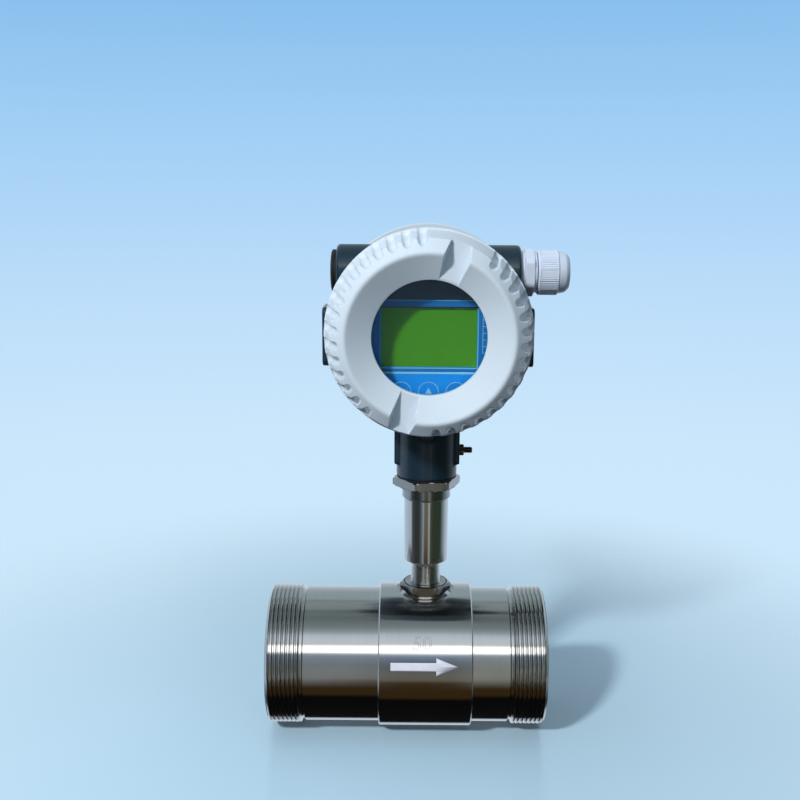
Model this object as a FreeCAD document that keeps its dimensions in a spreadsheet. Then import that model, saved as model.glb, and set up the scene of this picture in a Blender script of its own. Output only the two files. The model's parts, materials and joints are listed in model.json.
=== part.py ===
"""Turbine flow meter, DN 50, with a field display head.

A parametric FreeCAD document in millimetres. The origin is the centre of the inlet end
face, on the flow axis. +X runs along the flow, +Z up to the display head, and the display
faces -Y. Every sub-part is written to parts/NAME.step.
"""
import FreeCAD
import Part
import Sketcher

import math
import os
import re

SIZES = {
    # flow tube, turned from bar
    "tube_length": 150.0,
    "end_thread_radius": 37.592,
    "end_thread_length": 17.3,
    "end_chamfer": 1.5,
    "relief_radius": 35.4,
    "relief_width": 2.2,
    "relief_slope": 0.7,
    "tube_radius": 36.5,
    "band_radius": 38.8,
    "band_start": 60.0,
    "band_end": 110.0,
    "band_chamfer": 0.6,
    "bore_radius": 25.0,
    "mouth_chamfer": 1.0,
    "rotor_bore_radius": 24.2,
    "rotor_bore_length": 36.0,
    # flow guides, their rings and bearings
    "hub_radius": 11.0,
    "guide_nose_length": 12.0,
    "guide_tip_radius": 0.6,
    "guide_hub_ahead": 25.0,
    "rotor_end_gap": 1.5,
    "vane_length": 24.0,
    "vane_thickness": 1.6,
    "vane_count": 4,
    "ring_thickness": 1.5,
    "ring_depth": 1.4,
    "ring_width": 3.0,
    "ring_mouth_angle": 50.0,
    "ring_lug_radius": 3.2,
    "ring_lug_hole": 1.2,
    "bearing_radius": 4.0,
    "bearing_length": 6.0,
    "shaft_radius": 1.5,
    "shaft_in_bearing": 5.0,
    # rotor
    "rotor_hub_length": 18.0,
    "blade_count": 6,
    "blade_tip_gap": 0.6,
    "blade_thickness": 1.7,
    "blade_length": 15.0,
    "blade_twist": 38.0,
    # signal pickup and its stem
    "stem_x": 85.0,
    "spotface_radius": 15.5,
    "spotface_height": 35.5,
    "probe_radius": 8.0,
    "probe_depth": 8.0,
    "probe_end_wall": 1.8,
    "probe_hole_radius": 6.0,
    "probe_top": 53.0,
    "sleeve_radius": 12.0,
    "sleeve_taper": 2.8,
    "sleeve_top": 90.8,
    "sleeve_hole_radius": 9.4,
    "spigot_length": 5.6,
    "washer_radius": 10.8,
    "washer_thickness": 2.1,
    "nut_flats": 24.0,
    "nut_thickness": 4.9,
    "nut_chamfer": 1.2,
    "pole_radius": 1.5,
    "pole_length": 19.0,
    "bobbin_length": 15.0,
    "bobbin_flange": 1.0,
    "bobbin_tube_radius": 2.4,
    "winding_gap": 0.5,
    "magnet_radius": 4.6,
    "magnet_length": 7.0,
    "preamp_height": 26.0,
    "preamp_thickness": 1.6,
    "preamp_part_depth": 3.0,
    "preamp_part_width": 9.0,
    "preamp_part_height": 4.7,
    "preamp_part_pitch": 7.2,
    "preamp_part_count": 3,
    # neck adapter
    "collar_radius": 13.0,
    "collar_length": 6.4,
    "collar_chamfer": 0.5,
    "neck_hex_flats": 32.0,
    "neck_hex_length": 5.2,
    "neck_hex_chamfer": 1.3,
    "neck_hex_turn": 9.6,
    "adapter_hole_radius": 6.5,
    "adapter_thread_radius": 10.0,
    "adapter_thread_length": 12.0,
    "neck_seal_thickness": 0.6,
    "neck_seal_radius": 16.0,
    # display housing
    "head_height": 184.0,
    "neck_radius": 16.2,
    "neck_boss_reach": 17.4,
    "neck_boss_width": 15.0,
    "neck_boss_rise": 7.0,
    "neck_hole_radius": 7.0,
    "neck_thread_depth": 15.0,
    "front_boss_radius": 6.2,
    "front_boss_drop": 53.0,
    "front_boss_rise": 0.5,
    "barrel_radius": 49.0,
    "barrel_half_length": 32.0,
    "spigot_radius": 45.9,
    "spigot_end": 46.0,
    "chamber_radius": 41.0,
    "partition_front": 16.0,
    "partition_thickness": 4.0,
    "conduit_radius": 14.0,
    "conduit_length": 95.4,
    "conduit_rise": 28.0,
    "conduit_rounding": 1.8,
    "entry_thread_radius": 10.0,
    "side_pad_reach": 55.0,
    "side_pad_top": 10.0,
    "side_pad_height": 30.8,
    "side_pad_width": 22.0,
    "side_pad_rounding": 3.0,
    # screw covers
    "cover_gap": 0.3,
    "rim_radius": 52.0,
    "rim_thickness": 4.6,
    "cover_side_rear_radius": 51.2,
    "cover_edge_radius": 47.7,
    "cover_edge_reach": 54.5,
    "crest_radius": 41.0,
    "crest_reach": 60.0,
    "crest_rounding": 3.0,
    "window_radius": 28.0,
    "window_lip_reach": 52.0,
    "window_lip": 2.5,
    "cover_front_clearance": 1.0,
    "boss_wall": 3.8,
    "flute_radius": 2.2,
    "flute_depth": 2.4,
    "flute_stop": 0.8,
    "flute_pitch": 9.0,
    "flute_count": 16,
    "first_flute_angle": 22.5,
    "slot_floor_width": 9.4,
    "slot_top_width": 13.4,
    "slot_floor_reach": 52.4,
    "slot_lean": 18.0,
    "o_ring_radius": 1.2,
    # window
    "gasket_thickness": 1.0,
    "glass_radius": 32.4,
    "glass_thickness": 5.0,
    "clamp_ring_length": 3.0,
    "clamp_ring_hole": 29.4,
    "clamp_notch_width": 3.0,
    "clamp_notch_depth": 1.4,
    # display
    "board_thickness": 1.6,
    "display_board_radius": 38.0,
    "display_board_reach": 29.6,
    "faceplate_radius": 39.0,
    "faceplate_reach": 37.5,
    "faceplate_thickness": 1.5,
    "faceplate_wall": 1.2,
    "lcd_view_width": 47.5,
    "lcd_view_height": 29.4,
    "lcd_drop": 1.6,
    "lcd_border": 3.2,
    "key_radius": 5.2,
    "key_pitch": 13.6,
    "key_drop": 28.6,
    "key_rise": 0.4,
    "key_flange": 0.6,
    "key_stem_radius": 1.8,
    "key_travel": 0.4,
    "switch_size": 6.0,
    "switch_depth": 3.4,
    "switch_plunger_radius": 1.6,
    "switch_plunger_rise": 0.5,
    "standoff_radius": 2.75,
    "standoff_x": 30.0,
    "standoff_z": 17.0,
    "board_screw_radius": 1.5,
    "board_screw_head": 2.7,
    "board_screw_head_height": 1.9,
    "board_screw_length": 6.0,
    # terminal side
    "main_board_radius": 32.0,
    "main_board_reach": 3.0,
    "rear_standoff_circle": 27.0,
    "terminal_width": 34.0,
    "terminal_height": 12.0,
    "terminal_depth": 12.0,
    "terminal_drop": 10.0,
    "terminal_count": 5,
    "terminal_pitch": 6.4,
    "terminal_hole": 2.0,
    "terminal_hole_depth": 7.0,
    "terminal_hole_setback": 4.8,
    "terminal_screw_radius": 1.9,
    "terminal_screw_rise": 1.8,
    "terminal_screw_well": 3.5,
    "terminal_screw_length": 2.8,
    "ground_screw_radius": 2.0,
    "ground_screw_head": 3.2,
    "ground_screw_head_height": 2.4,
    "ground_screw_length": 3.0,
    "ground_screw_circle": 36.8,
    "earth_stud_radius": 1.8,
    "earth_stud_reach": 7.0,
    "earth_nut_radius": 3.0,
    "earth_nut_length": 2.4,
    "earth_stud_inside": 4.0,
    "earth_rise": 13.6,
    "set_screw_radius": 2.0,
    "set_screw_rise": 5.0,
    # blind plug and cable gland
    "plug_head_radius": 11.2,
    "plug_head_length": 3.0,
    "plug_dome": 1.6,
    "plug_thread_length": 10.0,
    "plug_seal_thickness": 1.0,
    "gland_seal_ring": 1.8,
    "gland_ring_radius": 11.0,
    "gland_hex_flats": 22.6,
    "gland_hex_length": 5.2,
    "gland_thread_length": 9.0,
    "gland_collar_radius": 10.6,
    "gland_collar_length": 1.1,
    "gland_top_thread_radius": 8.8,
    "gland_top_length": 9.0,
    "gland_hole_radius": 6.4,
    "gland_cap_start": 8.6,
    "gland_cap_length": 16.6,
    "gland_cap_radius": 11.7,
    "gland_nose_radius": 8.0,
    "gland_nose_length": 5.6,
    "gland_mouth_radius": 5.0,
    "gland_grommet_hole": 4.0,
    "gland_grommet_length": 9.0,
    "gland_grommet_start": 11.0,
    # fits
    "running_gap": 0.05,
    "thread_gap": 0.05,
    "loose_gap": 0.1,
    # how far a cutting shape stands past what it cuts
    "over_cut": 1.0,
}

# places and sizes that follow from the ones above
DERIVED = {
    "rotor_start": "stem_x - rotor_hub_length / 2",
    "inlet_shoulder": "stem_x - rotor_bore_length / 2",
    "outlet_shoulder": "stem_x + rotor_bore_length / 2",
    "hub_overhang": "rotor_bore_length / 2 - rotor_hub_length / 2 - rotor_end_gap",
    "hub_ahead_end": "guide_hub_ahead + guide_nose_length",
    "nose_rise": "hub_radius - guide_tip_radius",
    "nose_arc": "(guide_nose_length ^ 2 + nose_rise ^ 2) / (2 * nose_rise)",
    "groove_width": "ring_thickness + loose_gap",
    "groove_radius": "bore_radius + ring_depth",
    "blade_tip_radius": "rotor_bore_radius - blade_tip_gap",
    "probe_bottom": "spotface_height - probe_depth",
    "probe_floor": "probe_bottom + probe_end_wall",
    "sleeve_bottom": "probe_top + sleeve_taper",
    "nut_bottom": "spotface_height + washer_thickness",
    "collar_bottom": "sleeve_top",
    "hex_bottom": "sleeve_top + collar_length",
    "hex_top": "sleeve_top + collar_length + neck_hex_length",
    "neck_bottom": "hex_top + neck_seal_thickness",
    "partition_rear": "partition_front - partition_thickness",
    "rim_rear": "barrel_half_length + cover_gap",
    "rim_front": "rim_rear + rim_thickness",
    "cover_bore": "spigot_radius + loose_gap",
    "cover_inside": "spigot_end + cover_front_clearance",
    "seal_recess": "cover_bore + 2 * o_ring_radius + loose_gap",
    "seal_recess_depth": "2 * o_ring_radius + loose_gap",
    "glass_seat": "window_lip_reach - window_lip",
    "glass_front": "glass_seat - gasket_thickness",
    "glass_rear": "glass_front - glass_thickness",
    "clamp_rear": "glass_rear - clamp_ring_length",
    "clamp_radius": "glass_radius + loose_gap",
    "boss_radius": "clamp_radius + boss_wall",
    "faceplate_rear": "faceplate_reach - faceplate_thickness",
    "board_rear": "display_board_reach - board_thickness",
    "switch_top": "display_board_reach + switch_depth + switch_plunger_rise",
    "earth_height": "neck_bottom + earth_rise",
    "set_screw_height": "neck_bottom + set_screw_rise",
    "neck_boss_bottom": "neck_bottom + neck_boss_rise",
    "conduit_height": "head_height + conduit_rise",
    "conduit_end": "conduit_length / 2",
    "main_board_face": "main_board_reach - board_thickness",
}

WORD = re.compile(r"[a-z][a-z_]*")
NEAR = 1e-4


def cells(text):
    """Turn a formula in plain size names into one that reads the sheet's cells."""
    def cell(match):
        word = match.group(0)
        if word in DERIVED:
            return "(" + cells(DERIVED[word]) + ")"
        if word in SIZES:
            return "Sizes." + word
        return word
    return WORD.sub(cell, text)


document = FreeCAD.newDocument("TurbineFlowMeter")
sheet = document.addObject("Spreadsheet::Sheet", "Sizes")
for row, (alias, size) in enumerate(SIZES.items(), start=1):
    sheet.set(f"A{row}", alias)
    sheet.set(f"B{row}", str(size))
    sheet.setAlias(f"B{row}", alias)
document.recompute()

nodes = []


def number(text):
    """The present value of a formula."""
    return float(sheet.evalExpression(cells(text)))


def bind(item, **links):
    """Tie properties to formulas; two underscores in a name stand for a dot."""
    for name, text in links.items():
        item.setExpression(name.replace("__", "."), cells(text))


def place(item, at):
    """Put an object at a point given as three formulas."""
    bind(item, Placement__Base__x=at[0], Placement__Base__y=at[1], Placement__Base__z=at[2])


def new_body(label, at=("0", "0", "0")):
    """A sub-part's own body; its label names its file."""
    body = document.addObject("PartDesign::Body", label)
    body.Label = label
    place(body, at)
    nodes.append(body)
    return body


def own_datum(body, role):
    """One of the body's own planes or axes, by its role."""
    return next(f for f in body.Origin.OriginFeatures if f.Role == role)


def arc_between(first, last, radius, sign):
    """The short arc from first to last; sign +1 bulges to the right of the way there."""
    chord = last - first
    middle = (first + last) * 0.5
    side = FreeCAD.Vector(chord.y, -chord.x, 0).normalize() * sign
    sagitta = radius - math.sqrt(radius ** 2 - (chord.Length / 2) ** 2)
    return Part.Arc(first, middle + side * sagitta, last)


def draw(body, plane, corners=(), circles=(), height=None):
    """A sketch on one of the body's own planes, every point and radius tied to the sheet.

    A corner is (x, y), or (x, y, radius, sign) where an arc leads on to the next corner.
    A circle is (x, y, radius). Height lifts the sketch along the plane's normal.
    """
    sketch = body.newObject("Sketcher::SketchObject", body.Label + "_sketch")
    sketch.AttachmentSupport = [(own_datum(body, plane), "")]
    sketch.MapMode = "FlatFace"
    if height is not None:
        bind(sketch, AttachmentOffset__Base__z=height)
    points = [FreeCAD.Vector(number(c[0]), number(c[1]), 0) for c in corners]
    lines = []
    starts = []
    for index, corner in enumerate(corners):
        first = points[index]
        last = points[(index + 1) % len(points)]
        if len(corner) == 2:
            lines.append(Part.LineSegment(first, last))
            starts.append(1)
        else:
            lines.append(arc_between(first, last, number(corner[2]), corner[3]))
            starts.append(1 if corner[3] > 0 else 2)
    sketch.addGeometry(lines, False)
    rules = []
    links = []
    for index, corner in enumerate(corners):
        following = (index + 1) % len(corners)
        rules.append(Sketcher.Constraint("Coincident", index, 3 - starts[index], following, starts[following]))
        for kind, text in zip(("DistanceX", "DistanceY"), corner[:2]):
            links.append((len(rules), text))
            rules.append(Sketcher.Constraint(kind, -1, 1, index, starts[index], number(text)))
        if len(corner) > 2:
            links.append((len(rules), corner[2]))
            rules.append(Sketcher.Constraint("Radius", index, number(corner[2])))
    for circle in circles:
        index = sketch.addGeometry(Part.Circle(FreeCAD.Vector(number(circle[0]), number(circle[1]), 0),
                                               FreeCAD.Vector(0, 0, 1), number(circle[2])), False)
        for kind, text in zip(("DistanceX", "DistanceY"), circle[:2]):
            links.append((len(rules), text))
            rules.append(Sketcher.Constraint(kind, -1, 1, index, 3, number(text)))
        links.append((len(rules), circle[2]))
        rules.append(Sketcher.Constraint("Radius", index, number(circle[2])))
    sketch.addConstraint(rules)
    for index, text in links:
        sketch.setExpression(f"Constraints[{index}]", cells(text))
    return sketch


def rectangle(x_low, x_high, y_low, y_high):
    return [(x_low, y_low), (x_high, y_low), (x_high, y_high), (x_low, y_high)]


def hexagon(flats, turned="0"):
    """Corners of a hexagon of that width across flats; two flats face the sketch's y."""
    return [(f"{flats} / sqrt(3) * cos({60 * k} + {turned})",
             f"{flats} / sqrt(3) * sin({60 * k} + {turned})") for k in range(6)]


def feature(body, kind, profile, **settings):
    """A PartDesign feature from a sketch, checked for having changed the solid."""
    before = body.Shape.Volume if body.Tip is not None else 0.0
    item = body.newObject("PartDesign::" + kind, body.Label + "_" + kind.lower())
    item.Profile = profile
    for name, value in settings.items():
        if isinstance(value, str) and name in ("Length", "Angle"):
            item.setExpression(name, cells(value))
        else:
            setattr(item, name, value)
    profile.Visibility = False
    document.recompute()
    adds = kind in ("Pad", "Revolution", "AdditiveLoft")
    change = item.Shape.Volume - before
    if (change > 0) != adds or abs(change) < NEAR:
        raise RuntimeError(f"{item.Name} changed the volume by {change}")
    return item


def revolve(body, corners, axis="V_Axis", plane="XY_Plane", kind="Revolution"):
    sketch = draw(body, plane, corners)
    return feature(body, kind, sketch, ReferenceAxis=(sketch, [axis]), Angle=360.0)


def pad(body, plane, length, corners=(), circles=(), height=None, both=False, back=False):
    sketch = draw(body, plane, corners, circles, height)
    return feature(body, "Pad", sketch, Length=length, Midplane=both, Reversed=back)


def pocket(body, plane, length, corners=(), circles=(), height=None, both=False, back=False):
    sketch = draw(body, plane, corners, circles, height)
    return feature(body, "Pocket", sketch, Length=length, Midplane=both, Reversed=back)


def pattern(body, original, axis, count, angle, back=False):
    """Repeat a feature about one of the body's axes."""
    item = body.newObject("PartDesign::PolarPattern", body.Label + "_pattern")
    item.Originals = [original]
    item.Axis = (own_datum(body, axis), [""])
    item.setExpression("Angle", cells(angle))
    item.setExpression("Occurrences", cells(count))
    item.Reversed = back
    body.Tip = item
    document.recompute()
    return item


def fillet(body, radius, wanted):
    """Round the edges of the body's tip for which wanted(edge) is true."""
    base = body.Tip
    names = [f"Edge{k}" for k, edge in enumerate(base.Shape.Edges, start=1) if wanted(edge)]
    if not names:
        raise RuntimeError(f"{body.Label}: no edge to round")
    item = body.newObject("PartDesign::Fillet", body.Label + "_fillet")
    item.Base = (base, names)
    item.setExpression("Radius", cells(radius))
    document.recompute()
    return item


def is_ring(edge, radius):
    """Whether an edge is a full circle of that radius."""
    return (isinstance(edge.Curve, Part.Circle) and edge.Closed
            and abs(edge.Curve.Radius - number(radius)) < NEAR)


def cylinder(label, radius, height, at, axis=(0, 0, 1)):
    """A plain pin, disc or stud whose first end is centred on the point."""
    item = document.addObject("Part::Cylinder", label)
    item.Label = label
    item.Placement.Rotation = FreeCAD.Rotation(FreeCAD.Vector(0, 0, 1), FreeCAD.Vector(*axis))
    bind(item, Radius=radius, Height=height)
    place(item, at)
    return item


def joined(label, parts):
    """Several primitives as one node, either one solid or a group of like solids."""
    item = document.addObject("Part::MultiFuse", label)
    item.Label = label
    item.Shapes = parts
    nodes.append(item)
    return item


# ------------------------------------------------------------------ flow tube

def meter_body():
    """The tube with its two end threads, band, bore and the pickup's seat."""
    body = new_body("meter_body")
    side = [
        ("0", "bore_radius + mouth_chamfer"),
        ("0", "end_thread_radius - end_chamfer"),
        ("end_chamfer", "end_thread_radius"),
        ("end_thread_length", "end_thread_radius"),
        ("end_thread_length + relief_slope", "relief_radius"),
        ("end_thread_length + relief_width", "relief_radius"),
        ("end_thread_length + relief_width + relief_slope", "tube_radius"),
    ]
    band = [
        ("band_start", "tube_radius"),
        ("band_start", "band_radius - band_chamfer"),
        ("band_start + band_chamfer", "band_radius"),
        ("band_end - band_chamfer", "band_radius"),
        ("band_end", "band_radius - band_chamfer"),
        ("band_end", "tube_radius"),
    ]
    far_side = [(f"tube_length - ({x})", y) for x, y in reversed(side)]
    bore = [
        ("tube_length - mouth_chamfer", "bore_radius"),
        ("outlet_shoulder + vane_length + groove_width", "bore_radius"),
        ("outlet_shoulder + vane_length + groove_width", "groove_radius"),
        ("outlet_shoulder + vane_length", "groove_radius"),
        ("outlet_shoulder + vane_length", "bore_radius"),
        ("outlet_shoulder", "bore_radius"),
        ("outlet_shoulder", "rotor_bore_radius"),
        ("inlet_shoulder", "rotor_bore_radius"),
        ("inlet_shoulder", "bore_radius"),
        ("inlet_shoulder - vane_length", "bore_radius"),
        ("inlet_shoulder - vane_length", "groove_radius"),
        ("inlet_shoulder - vane_length - groove_width", "groove_radius"),
        ("inlet_shoulder - vane_length - groove_width", "bore_radius"),
        ("mouth_chamfer", "bore_radius"),
    ]
    revolve(body, side + band + far_side + bore, axis="H_Axis")
    pocket(body, "XY_Plane", "band_radius", circles=[("stem_x", "0", "spotface_radius")],
           height="spotface_height", back=True)
    pocket(body, "XY_Plane", "probe_depth + running_gap",
           circles=[("stem_x", "0", "probe_radius + thread_gap")], height="spotface_height")


def flow_guide(label, shoulder, faces_inlet):
    """A pointed hub on straightening vanes, with a seat for the rotor's bearing."""
    body = new_body(label, (shoulder, "0", "0"))
    if faces_inlet:
        body.Placement.Rotation = FreeCAD.Rotation(FreeCAD.Vector(0, 0, 1), 180)
    revolve(body, [
        ("-hub_overhang", "bearing_radius"),
        ("-hub_overhang", "hub_radius - end_chamfer / 2"),
        ("-hub_overhang + end_chamfer / 2", "hub_radius"),
        ("guide_hub_ahead", "hub_radius", "nose_arc", -1),
        ("hub_ahead_end", "guide_tip_radius"),
        ("hub_ahead_end", "0"),
        ("-hub_overhang + bearing_length", "0"),
        ("-hub_overhang + bearing_length", "bearing_radius"),
    ], axis="H_Axis")
    vane = pad(body, "XY_Plane", "vane_thickness", [
        ("0", "hub_radius - vane_thickness"),
        ("0", "bore_radius - running_gap"),
        ("vane_length - vane_thickness", "bore_radius - running_gap"),
        ("vane_length", "bore_radius - running_gap - vane_thickness"),
        ("vane_length", "hub_radius - vane_thickness"),
    ], both=True)
    pattern(body, vane, "X_Axis", "vane_count", "360")


def retaining_ring(label, start, turned):
    """A spring ring with two drilled lugs, snapped into its groove in the bore."""
    body = new_body(label, (start, "0", "0"))
    body.Placement.Rotation = FreeCAD.Rotation(FreeCAD.Vector(1, 0, 0), turned)
    pad(body, "YZ_Plane", "ring_thickness",
        circles=[("0", "0", "groove_radius - loose_gap"), ("0", "0", "bore_radius - ring_width / 2")])
    far = "2 * bore_radius"
    pocket(body, "YZ_Plane", "ring_thickness", [
        ("0", "0"),
        (f"{far} * sin(ring_mouth_angle / 2)", f"-{far} * cos(ring_mouth_angle / 2)"),
        (f"-{far} * sin(ring_mouth_angle / 2)", f"-{far} * cos(ring_mouth_angle / 2)"),
    ], back=True)
    for side in ("", "-"):
        lug_y = f"{side}(bore_radius - ring_lug_radius) * sin(ring_mouth_angle / 2)"
        lug_z = "-(bore_radius - ring_lug_radius) * cos(ring_mouth_angle / 2)"
        pad(body, "YZ_Plane", "ring_thickness", circles=[(lug_y, lug_z, "ring_lug_radius")])
        pocket(body, "YZ_Plane", "ring_thickness", circles=[(lug_y, lug_z, "ring_lug_hole")], back=True)


def bearing(label, start):
    """A plain bush for one end of the rotor's shaft."""
    body = new_body(label, (start, "0", "0"))
    pad(body, "YZ_Plane", "bearing_length",
        circles=[("0", "0", "bearing_radius"), ("0", "0", "shaft_radius + running_gap")])


def rotor():
    """The hub with its helical blades, each lofted through turned sections."""
    body = new_body("rotor", ("rotor_start", "0", "0"))
    chamfer = "end_chamfer / 2"
    revolve(body, [
        ("0", "shaft_radius"),
        ("0", f"hub_radius - {chamfer}"),
        (chamfer, "hub_radius"),
        (f"rotor_hub_length - {chamfer}", "hub_radius"),
        ("rotor_hub_length", f"hub_radius - {chamfer}"),
        ("rotor_hub_length", "shaft_radius"),
    ], axis="H_Axis")
    steps = 4
    sections = []
    for step in range(steps + 1):
        share = step / steps
        angle = f"(blade_twist * {share})"
        half = "blade_thickness / 2"
        root = "(hub_radius - blade_thickness)"
        tip = "blade_tip_radius"
        corners = []
        for radius, side in ((root, -1), (tip, -1), (tip, 1), (root, 1)):
            along = f"sqrt({radius} ^ 2 - ({half}) ^ 2)"
            corner = (f"{along} * cos{angle} - ({side} * {half}) * sin{angle}",
                      f"{along} * sin{angle} + ({side} * {half}) * cos{angle}")
            if (radius, side) == (tip, -1):
                corner += (tip, 1)
            corners.append(corner)
        start = f"(rotor_hub_length - blade_length) / 2 + blade_length * {share}"
        sections.append(draw(body, "YZ_Plane", corners, height=start))
    blade = feature(body, "AdditiveLoft", sections[0], Sections=sections[1:])
    pattern(body, blade, "X_Axis", "blade_count", "360")


def shaft():
    length = "rotor_hub_length + 2 * (rotor_end_gap + shaft_in_bearing)"
    nodes.append(cylinder("rotor_shaft", "shaft_radius", length,
                          (f"stem_x - ({length}) / 2", "0", "0"), (1, 0, 0)))


# ------------------------------------------------------------------ signal pickup and stem

def pickup_stem():
    """The turned sleeve with its threaded probe, open at the top for the electronics."""
    body = new_body("pickup_stem", ("stem_x", "0", "0"))
    revolve(body, [
        ("0", "probe_bottom"),
        ("probe_radius - end_chamfer / 2", "probe_bottom"),
        ("probe_radius", "probe_bottom + end_chamfer / 2"),
        ("probe_radius", "probe_top"),
        ("sleeve_radius", "sleeve_bottom"),
        ("sleeve_radius", "sleeve_top - collar_chamfer"),
        ("sleeve_radius - collar_chamfer", "sleeve_top"),
        ("adapter_thread_radius", "sleeve_top"),
        ("adapter_thread_radius", "sleeve_top + spigot_length"),
        ("sleeve_hole_radius", "sleeve_top + spigot_length"),
        ("sleeve_hole_radius", "sleeve_bottom + sleeve_taper"),
        ("probe_hole_radius", "sleeve_bottom"),
        ("probe_hole_radius", "probe_floor"),
        ("0", "probe_floor"),
    ], plane="XZ_Plane")


def hex_nut(label, bottom, flats, thickness, hole, chamfer):
    """A hexagon nut with both faces chamfered."""
    body = new_body(label, ("stem_x", "0", bottom))
    pad(body, "XY_Plane", thickness, hexagon(flats), [("0", "0", hole)])
    chamfer_hex(body, flats, "0", thickness, chamfer)


def chamfer_hex(body, flats, low, high, chamfer):
    """Turn the corners off a hexagon's ends, at 30 degrees to its faces."""
    reach = f"({flats} / sqrt(3) + over_cut)"
    for level, inward in ((high, "-"), (low, "+")):
        drop = f"({reach} - {flats} / 2 + {chamfer} / 2) * tan(30)"
        revolve(body, [
            (f"{flats} / 2 - {chamfer} / 2", level),
            (reach, level),
            (reach, f"{level} {inward} {drop}"),
        ], plane="XZ_Plane", kind="Groove")


def stem_fastening():
    body = new_body("lock_washer", ("stem_x", "0", "spotface_height"))
    pad(body, "XY_Plane", "washer_thickness",
        circles=[("0", "0", "washer_radius"), ("0", "0", "probe_radius + loose_gap")])
    hex_nut("lock_nut", "nut_bottom", "nut_flats", "nut_thickness", "probe_radius + thread_gap", "nut_chamfer")


def pickup_inside():
    """Pole pin, bobbin, winding and magnet in the probe, and the amplifier board above."""
    nodes.append(cylinder("pole_pin", "pole_radius", "pole_length", ("stem_x", "0", "probe_floor")))
    body = new_body("coil_bobbin", ("stem_x", "0", "probe_floor"))
    flange = "probe_hole_radius - loose_gap"
    revolve(body, [
        ("pole_radius + running_gap", "0"),
        (flange, "0"),
        (flange, "bobbin_flange"),
        ("bobbin_tube_radius", "bobbin_flange"),
        ("bobbin_tube_radius", "bobbin_length - bobbin_flange"),
        (flange, "bobbin_length - bobbin_flange"),
        (flange, "bobbin_length"),
        ("pole_radius + running_gap", "bobbin_length"),
    ], plane="XZ_Plane")
    body = new_body("pickup_coil", ("stem_x", "0", "probe_floor + bobbin_flange"))
    pad(body, "XY_Plane", "bobbin_length - 2 * bobbin_flange",
        circles=[("0", "0", "probe_hole_radius - winding_gap"), ("0", "0", "bobbin_tube_radius")])
    nodes.append(cylinder("pickup_magnet", "magnet_radius", "magnet_length",
                          ("stem_x", "0", "probe_floor + pole_length")))
    body = new_body("preamplifier_board", ("stem_x", "0", "sleeve_bottom + sleeve_taper"))
    half = "preamp_thickness / 2"
    reach = f"sqrt((sleeve_hole_radius - running_gap) ^ 2 - ({half}) ^ 2)"
    pad(body, "XY_Plane", "preamp_height", rectangle(f"-{reach}", reach, f"-{half}", half))
    middle = "(preamp_height - preamp_part_height) / 2"
    for k in range(int(number("preamp_part_count"))):
        pad(body, "XY_Plane", "preamp_part_height",
            rectangle("-preamp_part_width / 2", "preamp_part_width / 2",
                      f"-{half} - preamp_part_depth", f"-{half}"),
            height=f"{middle} + ({k} - (preamp_part_count - 1) / 2) * preamp_part_pitch")


def neck_adapter():
    """Collar and hexagon that join the stem to the head, threaded at both ends."""
    body = new_body("neck_adapter", ("stem_x", "0", "0"))
    pad(body, "XY_Plane", "neck_hex_length", hexagon("neck_hex_flats", "neck_hex_turn"), height="hex_bottom")
    chamfer_hex(body, "neck_hex_flats", "hex_bottom", "hex_top", "neck_hex_chamfer")
    revolve(body, [
        ("0", "collar_bottom"),
        ("collar_radius - collar_chamfer", "collar_bottom"),
        ("collar_radius", "collar_bottom + collar_chamfer"),
        ("collar_radius", "hex_bottom"),
        ("collar_radius", "hex_top"),
        ("adapter_thread_radius", "hex_top"),
        ("adapter_thread_radius", "hex_top + adapter_thread_length"),
        ("0", "hex_top + adapter_thread_length"),
    ], plane="XZ_Plane")
    revolve(body, [
        ("0", "collar_bottom"),
        ("adapter_thread_radius + thread_gap", "collar_bottom"),
        ("adapter_thread_radius + thread_gap", "collar_bottom + spigot_length + loose_gap"),
        ("adapter_hole_radius", "collar_bottom + spigot_length + loose_gap"),
        ("adapter_hole_radius", "hex_top + adapter_thread_length"),
        ("0", "hex_top + adapter_thread_length"),
    ], plane="XZ_Plane", kind="Groove")
    body = new_body("neck_seal", ("stem_x", "0", "hex_top"))
    pad(body, "XY_Plane", "neck_seal_thickness - running_gap",
        circles=[("0", "0", "neck_seal_radius"), ("0", "0", "adapter_thread_radius + loose_gap")])


# ------------------------------------------------------------------ display housing

HEAD = ("stem_x", "0", "head_height")


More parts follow.
